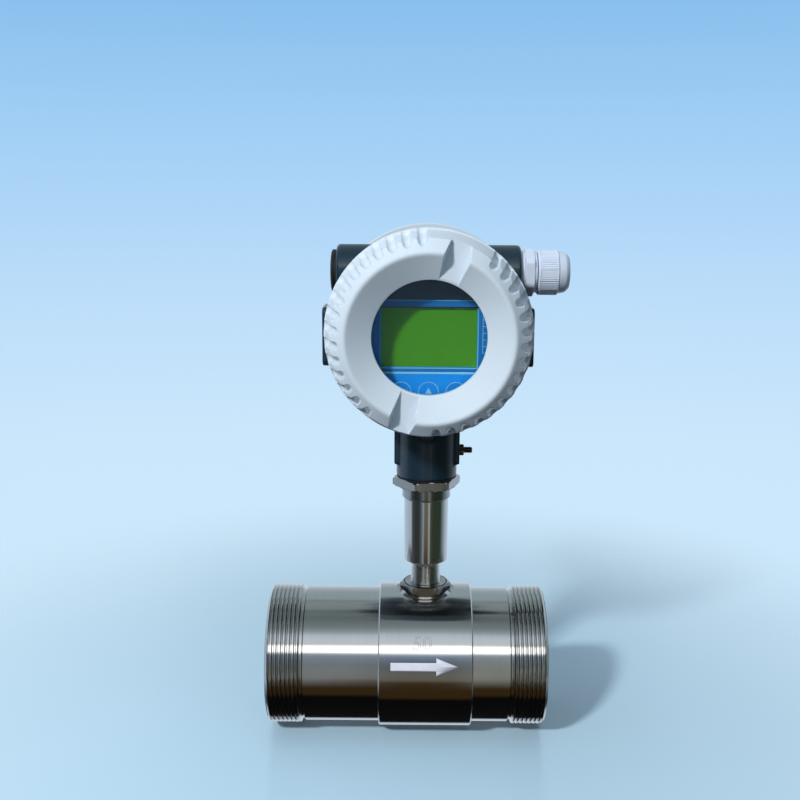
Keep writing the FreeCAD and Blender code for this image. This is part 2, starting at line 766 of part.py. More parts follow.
def housing_body():
    """The cast barrel with its conduit tube, neck, pads, chambers and entries."""
    body = new_body("housing_body", HEAD)
    revolve(body, [
        ("0", "-spigot_end"),
        ("spigot_radius", "-spigot_end"),
        ("spigot_radius", "-barrel_half_length"),
        ("barrel_radius", "-barrel_half_length"),
        ("barrel_radius", "barrel_half_length"),
        ("spigot_radius", "barrel_half_length"),
        ("spigot_radius", "spigot_end"),
        ("0", "spigot_end"),
    ])
    pad(body, "YZ_Plane", "conduit_length", circles=[("0", "conduit_rise", "conduit_radius")], both=True)
    fillet(body, "conduit_rounding", lambda edge: is_ring(edge, "conduit_radius"))
    pad(body, "YZ_Plane", "2 * side_pad_reach", side_pad_outline(), both=True)
    pad(body, "XY_Plane", "head_height - neck_bottom - chamber_radius",
        circles=[("0", "0", "neck_radius")], height="neck_bottom - head_height")
    pad(body, "XY_Plane", "head_height - neck_boss_bottom - chamber_radius",
        rectangle("-neck_boss_reach", "neck_boss_reach", "-neck_boss_width / 2", "neck_boss_width / 2"),
        height="neck_boss_bottom - head_height")
    pad(body, "XZ_Plane", "neck_radius + front_boss_rise",
        circles=[("0", "-front_boss_drop", "front_boss_radius")])
    for low, high in (("-spigot_end", "-partition_front"), ("-partition_rear", "spigot_end")):
        revolve(body, rectangle("0", "chamber_radius", low, high), kind="Groove")
    pocket(body, "YZ_Plane", "conduit_length",
           circles=[("0", "conduit_rise", "entry_thread_radius + thread_gap")], both=True)
    pocket(body, "XY_Plane", "neck_thread_depth",
           circles=[("0", "0", "adapter_thread_radius + running_gap")],
           height="neck_bottom - head_height", back=True)
    pocket(body, "XY_Plane", "head_height - neck_bottom",
           circles=[("0", "0", "neck_hole_radius")], height="neck_bottom - head_height", back=True)
    pocket(body, "YZ_Plane", "2 * neck_boss_reach",
           circles=[("0", "earth_height - head_height", "earth_stud_radius + thread_gap")],
           height="neck_boss_reach - earth_stud_inside", back=True)
    pocket(body, "XZ_Plane", "neck_radius",
           circles=[("0", "set_screw_height - head_height", "set_screw_radius + thread_gap")])
    pocket(body, "XZ_Plane", "partition_front + partition_thickness",
           circles=[("0", "ground_screw_circle", "ground_screw_radius + thread_gap")], height="0", back=True)


def side_pad_outline():
    """A rounded rectangle in Y and Z."""
    half = "side_pad_width / 2"
    top = "side_pad_top"
    bottom = "(side_pad_top - side_pad_height)"
    r = "side_pad_rounding"
    return [
        (f"-{half} + {r}", bottom), (f"{half} - {r}", bottom, r, 1),
        (half, f"{bottom} + {r}"), (half, f"{top} - {r}", r, 1),
        (f"{half} - {r}", top), (f"-{half} + {r}", top, r, 1),
        (f"-{half}", f"{top} - {r}"), (f"-{half}", f"{bottom} + {r}", r, 1),
    ]


def screw_cover(label, windowed):
    """A cast screw cover: dished front, fluted tapering side, two wrench slots."""
    body = new_body(label, HEAD)
    lean = FreeCAD.Rotation(FreeCAD.Vector(0, 1, 0), number("slot_lean"))
    half_turn = FreeCAD.Rotation(FreeCAD.Vector(0, 0, 1), 0 if windowed else 180)
    body.Placement.Rotation = half_turn.multiply(lean)
    dish = "atan((crest_reach - window_lip_reach) / (crest_radius - window_radius))"
    bevel = "atan((crest_reach - cover_edge_reach) / (cover_edge_radius - crest_radius))"
    back_off = f"crest_rounding * tan(({dish} + {bevel}) / 2)"
    front = [
        ("window_radius", "-window_lip_reach"),
        (f"crest_radius - {back_off} * cos({dish})", f"-crest_reach + {back_off} * sin({dish})",
         "crest_rounding", 1),
        (f"crest_radius + {back_off} * cos({bevel})", f"-crest_reach + {back_off} * sin({bevel})"),
        ("cover_edge_radius", "-cover_edge_reach"),
        ("cover_side_rear_radius", "-rim_front"),
        ("rim_radius", "-rim_front"),
        ("rim_radius", "-rim_rear"),
        ("seal_recess", "-rim_rear"),
        ("seal_recess", "-rim_rear - seal_recess_depth"),
        ("cover_bore", "-rim_rear - seal_recess_depth"),
        ("cover_bore", "-cover_inside"),
    ]
    seat = [
        ("boss_radius", "-cover_inside"),
        ("boss_radius", "-clamp_rear"),
        ("clamp_radius", "-clamp_rear"),
        ("clamp_radius", "-glass_seat"),
        ("window_radius", "-glass_seat"),
    ]
    blind = [("0", "-cover_inside"), ("0", "-window_lip_reach")]
    revolve(body, front + (seat if windowed else blind))
    pocket(body, "XY_Plane", "3 * rim_radius", [
        ("-slot_floor_width / 2", "-slot_floor_reach"),
        ("slot_floor_width / 2", "-slot_floor_reach"),
        ("slot_top_width / 2", "-crest_reach - over_cut"),
        ("-slot_top_width / 2", "-crest_reach - over_cut"),
    ], both=True)
    for side in (1, -1):
        cut_flutes(body, side)


def cut_flutes(body, side):
    """One side's row of flutes, each a round groove that follows the tapering side."""
    rise = "atan((cover_side_rear_radius - cover_edge_radius) / (cover_edge_reach - rim_front))"
    start = "(crest_reach + flute_radius)"
    stop = "(rim_front + flute_stop)"
    middle = f"(cover_edge_radius - flute_depth + flute_radius - ({start} - cover_edge_reach) * tan({rise}))"
    first = f"(90 - {side} * first_flute_angle)"
    flute = body.newObject("PartDesign::SubtractiveCylinder", body.Label + "_flute")
    bind(flute, Radius="flute_radius", Height=f"({start} - {stop}) / cos({rise})")
    place(flute, (f"{middle} * cos({first})", f"-{start}", f"{middle} * sin({first})"))
    lean = math.radians(number(rise))
    spin = math.radians(number(first))
    outward = FreeCAD.Vector(math.cos(spin), 0, math.sin(spin))
    along = FreeCAD.Vector(0, math.cos(lean), 0) + outward * math.sin(lean)
    flute.Placement.Rotation = FreeCAD.Rotation(FreeCAD.Vector(0, 0, 1), along)
    document.recompute()
    pattern(body, flute, "Y_Axis", "flute_count", "flute_pitch * (flute_count - 1)", back=side < 0)


OCTAGON = [22.5 + 45 * k for k in range(8)]


def cover_seal(label, facing):
    """The O-ring in a cover's rear recess, its section flattened where it is squeezed."""
    body = new_body(label, HEAD)
    corner = f"(o_ring_radius / cos({OCTAGON[0]}))"
    revolve(body, [(f"cover_bore + o_ring_radius + {corner} * cos({angle})",
                    f"{facing}(rim_rear + o_ring_radius) + {corner} * sin({angle})")
                   for angle in OCTAGON])


def window():
    body = new_body("window_gasket", HEAD)
    revolve(body, rectangle("window_radius + loose_gap", "glass_radius", "-glass_seat", "-glass_front"))
    nodes.append(cylinder("window_glass", "glass_radius", "glass_thickness",
                          (HEAD[0], "-glass_front", HEAD[2]), (0, 1, 0)))
    body = new_body("window_clamp_ring", HEAD)
    revolve(body, rectangle("clamp_ring_hole", "clamp_radius", "-glass_rear", "-clamp_rear"))
    pocket(body, "XZ_Plane", "clamp_notch_depth",
           rectangle("-clamp_radius", "clamp_radius", "-clamp_notch_width / 2", "clamp_notch_width / 2"),
           height="clamp_rear", back=True)


# ------------------------------------------------------------------ display

KEY_PLACES = {"key_left": "-key_pitch", "key_centre": "0", "key_right": "key_pitch"}


def display():
    """Faceplate, liquid crystal panel, board, keys and their switches."""
    body = new_body("faceplate", HEAD)
    pad(body, "XZ_Plane", "faceplate_reach - display_board_reach",
        circles=[("0", "0", "faceplate_radius"), ("0", "0", "faceplate_radius - faceplate_wall")],
        height="display_board_reach")
    half_w = "lcd_view_width / 2"
    half_h = "lcd_view_height / 2"
    pad(body, "XZ_Plane", "faceplate_thickness",
        rectangle(f"-{half_w}", half_w, f"-lcd_drop - {half_h}", f"-lcd_drop + {half_h}"),
        [("0", "0", "faceplate_radius - faceplate_wall / 2")]
        + [(x, "-key_drop", "key_radius + loose_gap") for x in KEY_PLACES.values()],
        height="faceplate_rear")

    body = new_body("lcd_panel", HEAD)
    half_w = "(lcd_view_width / 2 + lcd_border)"
    half_h = "(lcd_view_height / 2 + lcd_border)"
    pad(body, "XZ_Plane", "faceplate_rear - display_board_reach",
        rectangle(f"-{half_w}", half_w, f"-lcd_drop - {half_h}", f"-lcd_drop + {half_h}"),
        height="display_board_reach")

    body = new_body("display_board", HEAD)
    pad(body, "XZ_Plane", "board_thickness",
        circles=[("0", "0", "display_board_radius")]
        + [(f"{a} * standoff_x", f"{b} * standoff_z", "board_screw_radius + loose_gap")
           for a in (-1, 1) for b in (-1, 1)],
        height="board_rear")

    for label, x in KEY_PLACES.items():
        body = new_body(label, HEAD)
        centre = (x, "-key_drop")
        pad(body, "XZ_Plane", "faceplate_reach + key_rise - faceplate_rear + running_gap",
            circles=[centre + ("key_radius",)], height="faceplate_rear - running_gap")
        pad(body, "XZ_Plane", "key_flange", circles=[centre + ("key_radius + key_flange",)],
            height="faceplate_rear - running_gap - key_flange")
        pad(body, "XZ_Plane", "faceplate_rear - running_gap - key_flange - switch_top - key_travel - loose_gap",
            circles=[centre + ("key_stem_radius",)], height="switch_top + key_travel + loose_gap")

    switches = new_body("key_switches", HEAD)
    for x in KEY_PLACES.values():
        half = "switch_size / 2"
        pad(switches, "XZ_Plane", "switch_depth",
            rectangle(f"{x} - {half}", f"{x} + {half}", f"-key_drop - {half}", f"-key_drop + {half}"),
            height="display_board_reach")
        pad(switches, "XZ_Plane", "switch_plunger_rise + switch_depth",
            circles=[(x, "-key_drop", "switch_plunger_radius")], height="display_board_reach")


def display_fastening():
    """Four posts on the partition, and the four screws that hold the display board."""
    posts = []
    holes = []
    screws = []
    head_front = "(display_board_reach + board_screw_head_height)"
    for k, (a, b) in enumerate((a, b) for a in (-1, 1) for b in (-1, 1)):
        x = f"stem_x + {a} * standoff_x"
        z = f"head_height + {b} * standoff_z"
        posts.append(cylinder(f"post_{k}", "standoff_radius", "board_rear - partition_front",
                              (x, "-partition_front", z), (0, -1, 0)))
        holes.append(cylinder(f"post_hole_{k}", "board_screw_radius", "board_screw_length",
                              (x, "-board_rear", z), (0, 1, 0)))
        shank = cylinder(f"screw_shank_{k}", "board_screw_radius",
                         f"{head_front} - board_rear + board_screw_length",
                         (x, f"-{head_front}", z), (0, 1, 0))
        head = cylinder(f"screw_head_{k}", "board_screw_head", "board_screw_head_height",
                        (x, f"-{head_front}", z), (0, 1, 0))
        screws += [shank, head]
    drilled("board_posts", posts, holes)
    joined("board_screws", screws)


def drilled(label, solids, holes):
    """A group of like solids with holes cut in them."""
    whole = document.addObject("Part::MultiFuse", label + "_solids")
    whole.Shapes = solids
    tool = document.addObject("Part::MultiFuse", label + "_holes")
    tool.Shapes = holes
    item = document.addObject("Part::Cut", label)
    item.Label = label
    item.Base = whole
    item.Tool = tool
    nodes.append(item)
    return item


# ------------------------------------------------------------------ terminal side

def terminal_side():
    """Main board on three posts, terminal block with its screws, and the ground screw."""
    body = new_body("main_board", HEAD)
    spots = [(f"rear_standoff_circle * cos({angle})", f"rear_standoff_circle * sin({angle})")
             for angle in (90, 210, 330)]
    pad(body, "XZ_Plane", "board_thickness",
        circles=[("0", "0", "main_board_radius")]
        + [(x, z, "board_screw_radius + loose_gap") for x, z in spots],
        height="main_board_face")
    posts = []
    holes = []
    screws = []
    head_rear = "(main_board_face - board_screw_head_height)"
    for k, (x, z) in enumerate(spots):
        at_x = f"stem_x + {x}"
        at_z = f"head_height + {z}"
        posts.append(cylinder(f"rear_post_{k}", "standoff_radius", "partition_rear - main_board_reach",
                              (at_x, "-partition_rear", at_z), (0, 1, 0)))
        holes.append(cylinder(f"rear_post_hole_{k}", "board_screw_radius", "board_screw_length",
                              (at_x, "-main_board_reach - board_screw_length", at_z), (0, 1, 0)))
        screws.append(cylinder(f"rear_screw_shank_{k}", "board_screw_radius",
                               f"main_board_reach + board_screw_length - {head_rear}",
                               (at_x, "-main_board_reach - board_screw_length", at_z), (0, 1, 0)))
        screws.append(cylinder(f"rear_screw_head_{k}", "board_screw_head", "board_screw_head_height",
                               (at_x, "-main_board_face", at_z), (0, 1, 0)))
    drilled("main_board_posts", posts, holes)
    joined("main_board_screws", screws)

    body = new_body("terminal_block", HEAD)
    half = "terminal_width / 2"
    low = "(-terminal_drop - terminal_height / 2)"
    places = [f"terminal_pitch * ({k} - (terminal_count - 1) / 2)"
              for k in range(int(number("terminal_count")))]
    pad(body, "XZ_Plane", "terminal_depth",
        rectangle(f"-{half}", half, low, f"{low} + terminal_height"),
        height="main_board_face - terminal_depth")
    pocket(body, "XY_Plane", "terminal_hole_depth",
           circles=[(x, "terminal_hole_setback - main_board_face", "terminal_hole") for x in places],
           height=low, back=True)
    pocket(body, "XZ_Plane", "terminal_screw_well",
           circles=[(x, "terminal_screw_rise - terminal_drop", "terminal_screw_radius + loose_gap")
                    for x in places],
           height="main_board_face - terminal_depth", back=True)
    joined("terminal_screws", [
        cylinder(f"terminal_screw_{k}", "terminal_screw_radius", "terminal_screw_length",
                 (f"stem_x + {x}", "terminal_depth - main_board_face - terminal_screw_well",
                  "head_height - terminal_drop + terminal_screw_rise"), (0, 1, 0))
        for k, x in enumerate(places)])

    at = ("stem_x", "-partition_rear", "head_height + ground_screw_circle")
    joined("ground_screw", [
        cylinder("ground_shank", "ground_screw_radius", "ground_screw_length",
                 (at[0], "-partition_rear - ground_screw_length", at[2]), (0, 1, 0)),
        cylinder("ground_head", "ground_screw_head", "ground_screw_head_height", at, (0, 1, 0)),
    ])


def neck_screws():
    """The outside earth stud on the neck's right pad, and the grub screw behind the neck."""
    at_x = "stem_x + neck_boss_reach"
    joined("earth_screw", [
        cylinder("earth_stud", "earth_stud_radius", "earth_stud_inside + earth_stud_reach",
                 (f"{at_x} - earth_stud_inside", "0", "earth_height"), (1, 0, 0)),
        cylinder("earth_nut", "earth_nut_radius", "earth_nut_length", (at_x, "0", "earth_height"), (1, 0, 0)),
    ])
    nodes.append(cylinder("neck_set_screw", "set_screw_radius",
                          "neck_radius - adapter_thread_radius - loose_gap - running_gap",
                          ("stem_x", "adapter_thread_radius + loose_gap", "set_screw_height"), (0, 1, 0)))


# ------------------------------------------------------------------ blind plug and cable gland

def blind_plug():
    """The domed plug in the left entry, on its sealing ring."""
    body = new_body("plug_seal", ("stem_x - conduit_end", "0", "conduit_height"))
    pad(body, "YZ_Plane", "plug_seal_thickness",
        circles=[("0", "0", "plug_head_radius - loose_gap"), ("0", "0", "entry_thread_radius + loose_gap")],
        back=True)
    body = new_body("blind_plug", ("stem_x - conduit_end", "0", "conduit_height"))
    revolve(body, [
        ("plug_thread_length", "0"),
        ("plug_thread_length", "entry_thread_radius - end_chamfer"),
        ("plug_thread_length - end_chamfer", "entry_thread_radius"),
        ("-plug_seal_thickness", "entry_thread_radius"),
        ("-plug_seal_thickness", "plug_head_radius"),
        ("-plug_seal_thickness - plug_head_length + plug_dome", "plug_head_radius"),
        ("-plug_seal_thickness - plug_head_length", "plug_head_radius - 2 * plug_dome"),
        ("-plug_seal_thickness - plug_head_length", "0"),
    ], axis="H_Axis")


def cable_gland():
    """Sealing ring, hexagon body, grommet and cap nut in the right entry."""
    start = ("stem_x + conduit_end", "0", "conduit_height")
    body = new_body("gland_washer", start)
    pad(body, "YZ_Plane", "gland_seal_ring",
        circles=[("0", "0", "gland_ring_radius"), ("0", "0", "entry_thread_radius + loose_gap")])

    body = new_body("gland_body", start)
    pad(body, "YZ_Plane", "gland_hex_length", hexagon("gland_hex_flats"), height="gland_seal_ring")
    hex_end = "(gland_seal_ring + gland_hex_length)"
    revolve(body, [
        ("-gland_thread_length", "gland_hole_radius"),
        ("-gland_thread_length", "entry_thread_radius - end_chamfer / 2"),
        ("-gland_thread_length + end_chamfer / 2", "entry_thread_radius"),
        (hex_end, "entry_thread_radius"),
        (hex_end, "gland_collar_radius"),
        (f"{hex_end} + gland_collar_length", "gland_collar_radius"),
        (f"{hex_end} + gland_collar_length", "gland_top_thread_radius"),
        (f"{hex_end} + gland_top_length", "gland_top_thread_radius"),
        (f"{hex_end} + gland_top_length", "gland_hole_radius"),
    ], axis="H_Axis")
    pocket(body, "YZ_Plane", "gland_hex_length", circles=[("0", "0", "gland_hole_radius")],
           height="gland_seal_ring", back=True)

    body = new_body("gland_grommet", start)
    pad(body, "YZ_Plane", "gland_grommet_length",
        circles=[("0", "0", "gland_hole_radius - loose_gap"), ("0", "0", "gland_grommet_hole")],
        height="gland_grommet_start")

    body = new_body("gland_cap", start)
    cap_end = "(gland_cap_start + gland_cap_length)"
    shoulder = f"({cap_end} - gland_nose_length)"
    inside = f"({hex_end} + gland_top_length + loose_gap)"
    revolve(body, [
        ("gland_cap_start", "gland_top_thread_radius + running_gap"),
        ("gland_cap_start", "gland_cap_radius - plug_dome / 2"),
        ("gland_cap_start + plug_dome / 2", "gland_cap_radius"),
        (f"{shoulder} - plug_dome / 2", "gland_cap_radius"),
        (shoulder, "gland_cap_radius - plug_dome / 2"),
        (shoulder, "gland_collar_radius", "gland_nose_length", -1),
        (cap_end, "gland_nose_radius"),
        (cap_end, "gland_mouth_radius"),
        ("gland_grommet_start + gland_grommet_length + loose_gap", "gland_mouth_radius"),
        ("gland_grommet_start + gland_grommet_length + loose_gap", "gland_hole_radius + loose_gap"),
        (inside, "gland_hole_radius + loose_gap"),
        (inside, "gland_top_thread_radius + running_gap"),
    ], axis="H_Axis")


def write_parts():
    """Check every object of the document, then write each sub-part's shape."""
    document.recompute()
    for item in document.Objects:
        if "Invalid" in item.State or "Error" in item.State:
            raise RuntimeError(f"{item.Name} failed: {item.State}")
    os.makedirs("parts", exist_ok=True)
    for item in nodes:
        shape = item.Shape
        if shape.isNull() or not shape.isValid() or not shape.Solids:
            raise RuntimeError(f"{item.Label} has no valid solid")
        shape.exportStep(os.path.join("parts", item.Label + ".step"))


def build():
    meter_body()
    flow_guide("inlet_guide", "inlet_shoulder", True)
    flow_guide("outlet_guide", "outlet_shoulder", False)
    retaining_ring("inlet_retaining_ring", "inlet_shoulder - vane_length - ring_thickness", 0)
    retaining_ring("outlet_retaining_ring", "outlet_shoulder + vane_length", 0)
    bearing("inlet_bearing", "inlet_shoulder + hub_overhang - bearing_length")
    bearing("outlet_bearing", "outlet_shoulder - hub_overhang")
    rotor()
    shaft()
    pickup_stem()
    stem_fastening()
    pickup_inside()
    neck_adapter()
    housing_body()
    screw_cover("front_cover", True)
    screw_cover("rear_cover", False)
    cover_seal("front_cover_seal", "-")
    cover_seal("rear_cover_seal", "")
    window()
    display()
    display_fastening()
    terminal_side()
    neck_screws()
    blind_plug()
    cable_gland()


build()
write_parts()
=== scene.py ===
"""Looks of a threaded turbine flow meter with a field display head.

Laid out as a Blender add-on and run as a script. Lengths of the pieces are in millimetres
on the meter's own axes and become metres when a mesh is made. Floor and lamps are in metres.
"""

import json
import math

import bmesh
import bpy
import numpy as np
from mathutils import Matrix, Vector


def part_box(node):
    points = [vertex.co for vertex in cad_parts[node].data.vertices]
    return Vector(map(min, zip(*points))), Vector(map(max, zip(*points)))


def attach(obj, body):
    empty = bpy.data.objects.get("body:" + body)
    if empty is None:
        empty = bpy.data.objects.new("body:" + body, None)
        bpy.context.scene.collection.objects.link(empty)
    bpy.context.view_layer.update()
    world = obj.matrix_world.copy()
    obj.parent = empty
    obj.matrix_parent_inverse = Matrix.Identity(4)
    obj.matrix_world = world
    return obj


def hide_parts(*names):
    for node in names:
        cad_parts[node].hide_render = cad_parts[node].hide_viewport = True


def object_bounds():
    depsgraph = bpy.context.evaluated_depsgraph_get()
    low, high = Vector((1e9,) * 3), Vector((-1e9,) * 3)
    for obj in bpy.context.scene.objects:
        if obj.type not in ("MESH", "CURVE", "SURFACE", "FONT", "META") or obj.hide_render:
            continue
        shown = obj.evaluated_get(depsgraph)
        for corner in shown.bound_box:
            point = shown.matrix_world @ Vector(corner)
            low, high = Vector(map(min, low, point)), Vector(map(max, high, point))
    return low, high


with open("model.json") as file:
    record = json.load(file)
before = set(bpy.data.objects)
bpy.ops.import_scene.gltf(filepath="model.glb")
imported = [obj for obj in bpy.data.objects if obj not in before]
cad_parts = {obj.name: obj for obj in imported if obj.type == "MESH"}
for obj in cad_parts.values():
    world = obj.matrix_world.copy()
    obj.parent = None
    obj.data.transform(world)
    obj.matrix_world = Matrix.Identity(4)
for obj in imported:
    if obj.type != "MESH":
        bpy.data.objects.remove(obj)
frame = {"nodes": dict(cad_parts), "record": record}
CAD_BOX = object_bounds()

bl_info = {
    "name": "Turbine Flow Meter",
    "version": (1, 0, 0),
    "blender": (4, 5, 0),
    "location": "View3D > Sidebar > Flow Meter",
    "description": "Builds the pieces and finishes of a turbine flow meter with a display head",
    "category": "Object",
}

MM = 0.001
STEM_X = 85.0
STEM = (STEM_X, 0, 0)
HEAD = (STEM_X, 0.0, 184.0)
CONDUIT_Z = 212.0
ENTRY_REACH = 47.7
BAND = 38.77
TUBE_MAJOR = 37.592


# ------------------------------------------------------------------ sizes and colours


def length_property(name, description, millimetres):
    return bpy.props.FloatProperty(
        name=name, description=description, default=millimetres * MM, unit="LENGTH", precision=5)


def colour_property(name, description, default):
    return bpy.props.FloatVectorProperty(
        name=name, description=description, default=default, subtype="COLOR", size=3,
        min=0.0, max=1.0)


class MeterSizes(bpy.types.PropertyGroup):
    """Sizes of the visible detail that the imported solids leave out."""

    tube_pitch: length_property("Tube thread pitch", "Pitch of the two end threads", 2.309)
    tube_thread_depth: length_property("Tube thread depth", "Depth of the end threads", 1.45)
    stem_pitch: length_property("Stem thread pitch", "Pitch of the pickup stem's lower thread", 1.5)
    cover_pitch: length_property("Cover thread pitch", "Pitch of the covers and the housing", 2.0)
    gland_pitch: length_property("Gland thread pitch", "Pitch of the gland body and its cap nut", 1.5)
    cast_softness: length_property(
        "Casting softness", "How softly the cast covers' edges run out", 0.4)
    casting_grid: length_property("Casting grid", "Mesh size of the cast housing", 0.8)
    arrow_length: length_property("Flow arrow length", "Length of the etched flow arrow", 35.6)
    number_height: length_property("Etched number height", "Height of the etched bore number", 7.0)
    etch_height: length_property("Mark height", "How far the etched marks stand off the band", 0.04)


class MeterColours(bpy.types.PropertyGroup):
    """Base colours of the finishes, in linear light."""

    steel: colour_property("Steel", "Turned and polished stainless steel", (0.60, 0.60, 0.585))
    cover: colour_property("Cover paint", "Pale paint of the screw covers", (0.66, 0.765, 0.86))
    housing: colour_property(
        "Housing paint", "Dark blue-grey paint of the cast housing", (0.012, 0.031, 0.050))
    nylon: colour_property("Nylon", "Pale nylon of the cable gland", (0.66, 0.75, 0.89))
    face: colour_property(
        "Display blue", "Printed blue of the display's faceplate", (0.006, 0.30, 0.93))
    glass_cell: colour_property(
        "Display green", "Unlit green of the glass cell", (0.064, 0.285, 0.005))
    marks: colour_property(
        "Etched marks", "Frosted grey of the etched arrow and number", (0.80, 0.81, 0.93))


def sizes():
    return bpy.context.scene.flow_meter_sizes


def colours():
    return bpy.context.scene.flow_meter_colours


# ------------------------------------------------------------------ shapes


def outline(corners, closed=True, arc_steps=4):
    """Section points from corners (along, radius) or (along, radius, rounding)."""
    points = []
    for index, corner in enumerate(corners):
        here = np.array(corner[:2], float)
        end = not closed and index in (0, len(corners) - 1)
        if len(corner) < 3 or end:
            points.append(here)
            continue
        before = np.array(corners[index - 1][:2], float) - here
        after = np.array(corners[(index + 1) % len(corners)][:2], float) - here
        reach = min(np.linalg.norm(before), np.linalg.norm(after))
        before /= np.linalg.norm(before)
        after /= np.linalg.norm(after)
        half = math.acos(float(np.clip(before @ after, -1, 1))) / 2
        back = min(corner[2] / math.tan(half), 0.48 * reach)
        for share in np.linspace(0, 1, arc_steps + 1):
            points.append((1 - share) ** 2 * (here + before * back)
                          + 2 * share * (1 - share) * here
                          + share ** 2 * (here + after * back))
    return np.array(points)


def divide(points, low, high, step, closed=True):
    """The same section with every run between low and high cut into short steps."""
    result = []
    count = len(points)
    for index in range(count if closed else count - 1):
        first, last = points[index], points[(index + 1) % count]
        result.append(first)
        inside = min(first[0], last[0]) >= low - 0.01 and max(first[0], last[0]) <= high + 0.01
        pieces = int(math.ceil(np.linalg.norm(last - first) / step))
        if inside and pieces > 1:
            for share in np.arange(1, pieces) / pieces:
                result.append(first + (last - first) * share)
    if not closed:
        result.append(points[-1])
    return np.array(result)


def even_turns(count):
    return np.linspace(0, 2 * math.pi, count, endpoint=False)


AXIS_ORDER = {"X": (0, 1, 2), "Y": (1, 0, 2), "Z": (2, 0, 1)}


def turned(points, turns, axis, centre, form=None, closed=True):
    """Vertices and faces of a section turned about an axis, shaped by a form function."""
    along, radius = np.array(points, float).T
    along = np.repeat(along[:, None], len(turns), 1)
    radius = np.repeat(radius[:, None], len(turns), 1)
    turn = np.repeat(np.array(turns)[None, :], len(along), 0)
    if form is not None:
        along, radius, turn = form(along, radius, turn)
    places = np.empty(along.shape + (3,))
    first, second, third = AXIS_ORDER[axis]
    places[..., first] = along
    places[..., second] = radius * np.cos(turn)
    places[..., third] = radius * np.sin(turn)
    places += np.array(centre)
    rows, columns = along.shape
    row = np.arange(rows if closed else rows - 1)[:, None]
    column = np.arange(columns)[None, :]
    following = (row + 1) % rows
    beside = (column + 1) % columns
    faces = np.stack([row * columns + column, row * columns + beside,
                      following * columns + beside, following * columns + column], -1)
    return places.reshape(-1, 3), faces.reshape(-1, 4)


def tidy_mesh(mesh):
    """Join coincident points and turn every face outward."""
    work = bmesh.new()
    work.from_mesh(mesh)
    bmesh.ops.remove_doubles(work, verts=work.verts, dist=1e-7)
    bmesh.ops.dissolve_degenerate(work, edges=work.edges, dist=1e-8)
    bmesh.ops.recalc_face_normals(work, faces=work.faces)
    work.to_mesh(mesh)
    work.free()


def shade(mesh, sharp):
    mesh.shade_smooth()
    mesh.set_sharp_from_angle(angle=math.radians(sharp))


def piece(name, shape, finish, body, stands_for=(), sharp=32.0):
    """A finished mesh piece from vertices and faces in millimetres, riding on a body."""
    places, faces = shape
    mesh = bpy.data.meshes.new(name)
    mesh.from_pydata((np.array(places) * MM).tolist(), [], np.array(faces).tolist()
                     if isinstance(faces, np.ndarray) else faces)
    tidy_mesh(mesh)
    shade(mesh, sharp)
    item = bpy.data.objects.new(name, mesh)
    bpy.context.scene.collection.objects.link(item)
    return settle(item, finish, body, stands_for)


def settle(item, finish, body, stands_for=()):
    """Give a piece its finish, its body and the nodes it stands for."""
    item.data.materials.clear()
    item.data.materials.append(FINISHES[finish]())
    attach(item, body)
    if stands_for:
        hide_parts(*stands_for)
    return item


def joined_shapes(*shapes):
    """Several shapes as one."""
    places, faces, start = [], [], 0
    for points, quads in shapes:
        places.append(points)
        faces += [[start + int(k) for k in face] for face in quads]
        start += len(points)
    return np.concatenate(places), faces


def apply_modifiers(item):
    """Replace a piece's mesh by what its modifiers make of it."""
    bpy.context.view_layer.update()
    graph = bpy.context.evaluated_depsgraph_get()
    made = bpy.data.meshes.new_from_object(item.evaluated_get(graph))
    old = item.data
    item.modifiers.clear()
    item.data = made
    bpy.data.meshes.remove(old)
    made.name = item.name


def cut_away(item, shapes, sharp=32.0):
    """Cut closed shapes out of a piece."""
    cutters = []
    for number, (places, faces) in enumerate(shapes):
        mesh = bpy.data.meshes.new(f"cutter_{number}")
        mesh.from_pydata((np.array(places) * MM).tolist(), [], np.array(faces).tolist())
        tidy_mesh(mesh)
        cutter = bpy.data.objects.new(mesh.name, mesh)
        bpy.context.scene.collection.objects.link(cutter)
        step = item.modifiers.new("cut", "BOOLEAN")
        step.operation = "DIFFERENCE"
        step.solver = "EXACT"
        step.object = cutter
        cutters.append(cutter)
    apply_modifiers(item)
    for cutter in cutters:
        mesh = cutter.data
        bpy.data.objects.remove(cutter)
        bpy.data.meshes.remove(mesh)
    shade(item.data, sharp)


def soft_least(first, second, softness):
    """The lesser of two surfaces, with a soft run-out where they meet."""
    share = np.clip(0.5 + 0.5 * (second - first) / softness, 0, 1)
    return second + (first - second) * share - softness * share * (1 - share)


def soft_step(value, low, high):
    """A smooth rise from 0 at low to 1 at high."""
    share = np.clip((value - low) / (high - low), 0, 1)
    return share * share * (3 - 2 * share)


def thread_cut(along, turn, pitch, depth):
    """Depth of a rounded single-start thread at each place."""
    phase = np.mod(along / pitch - turn / (2 * math.pi), 1.0)
    flank = np.abs(2 * phase - 1)
    return depth * (1 - soft_step(flank, 0.12, 0.66))


def threaded(major, pitch, depth, where):
    """A form that cuts a thread of one major radius where a test on along and radius holds."""
    def form(along, radius, turn):
        cut = major - thread_cut(along, turn, pitch, depth)
        return along, np.where(where(along, radius), np.minimum(radius, cut), radius), turn
    return form


# ------------------------------------------------------------------ finishes


def new_group(name, inputs, outputs):
    group = bpy.data.node_groups.new(name, "ShaderNodeTree")
    for label, kind, default in inputs:
        socket = group.interface.new_socket(name=label, in_out="INPUT", socket_type=kind)
        socket.default_value = default
    for label, kind in outputs:
        group.interface.new_socket(name=label, in_out="OUTPUT", socket_type=kind)
    return group, group.nodes.new("NodeGroupInput"), group.nodes.new("NodeGroupOutput")


FLOAT, COLOUR, VECTOR = "NodeSocketFloat", "NodeSocketColor", "NodeSocketVector"


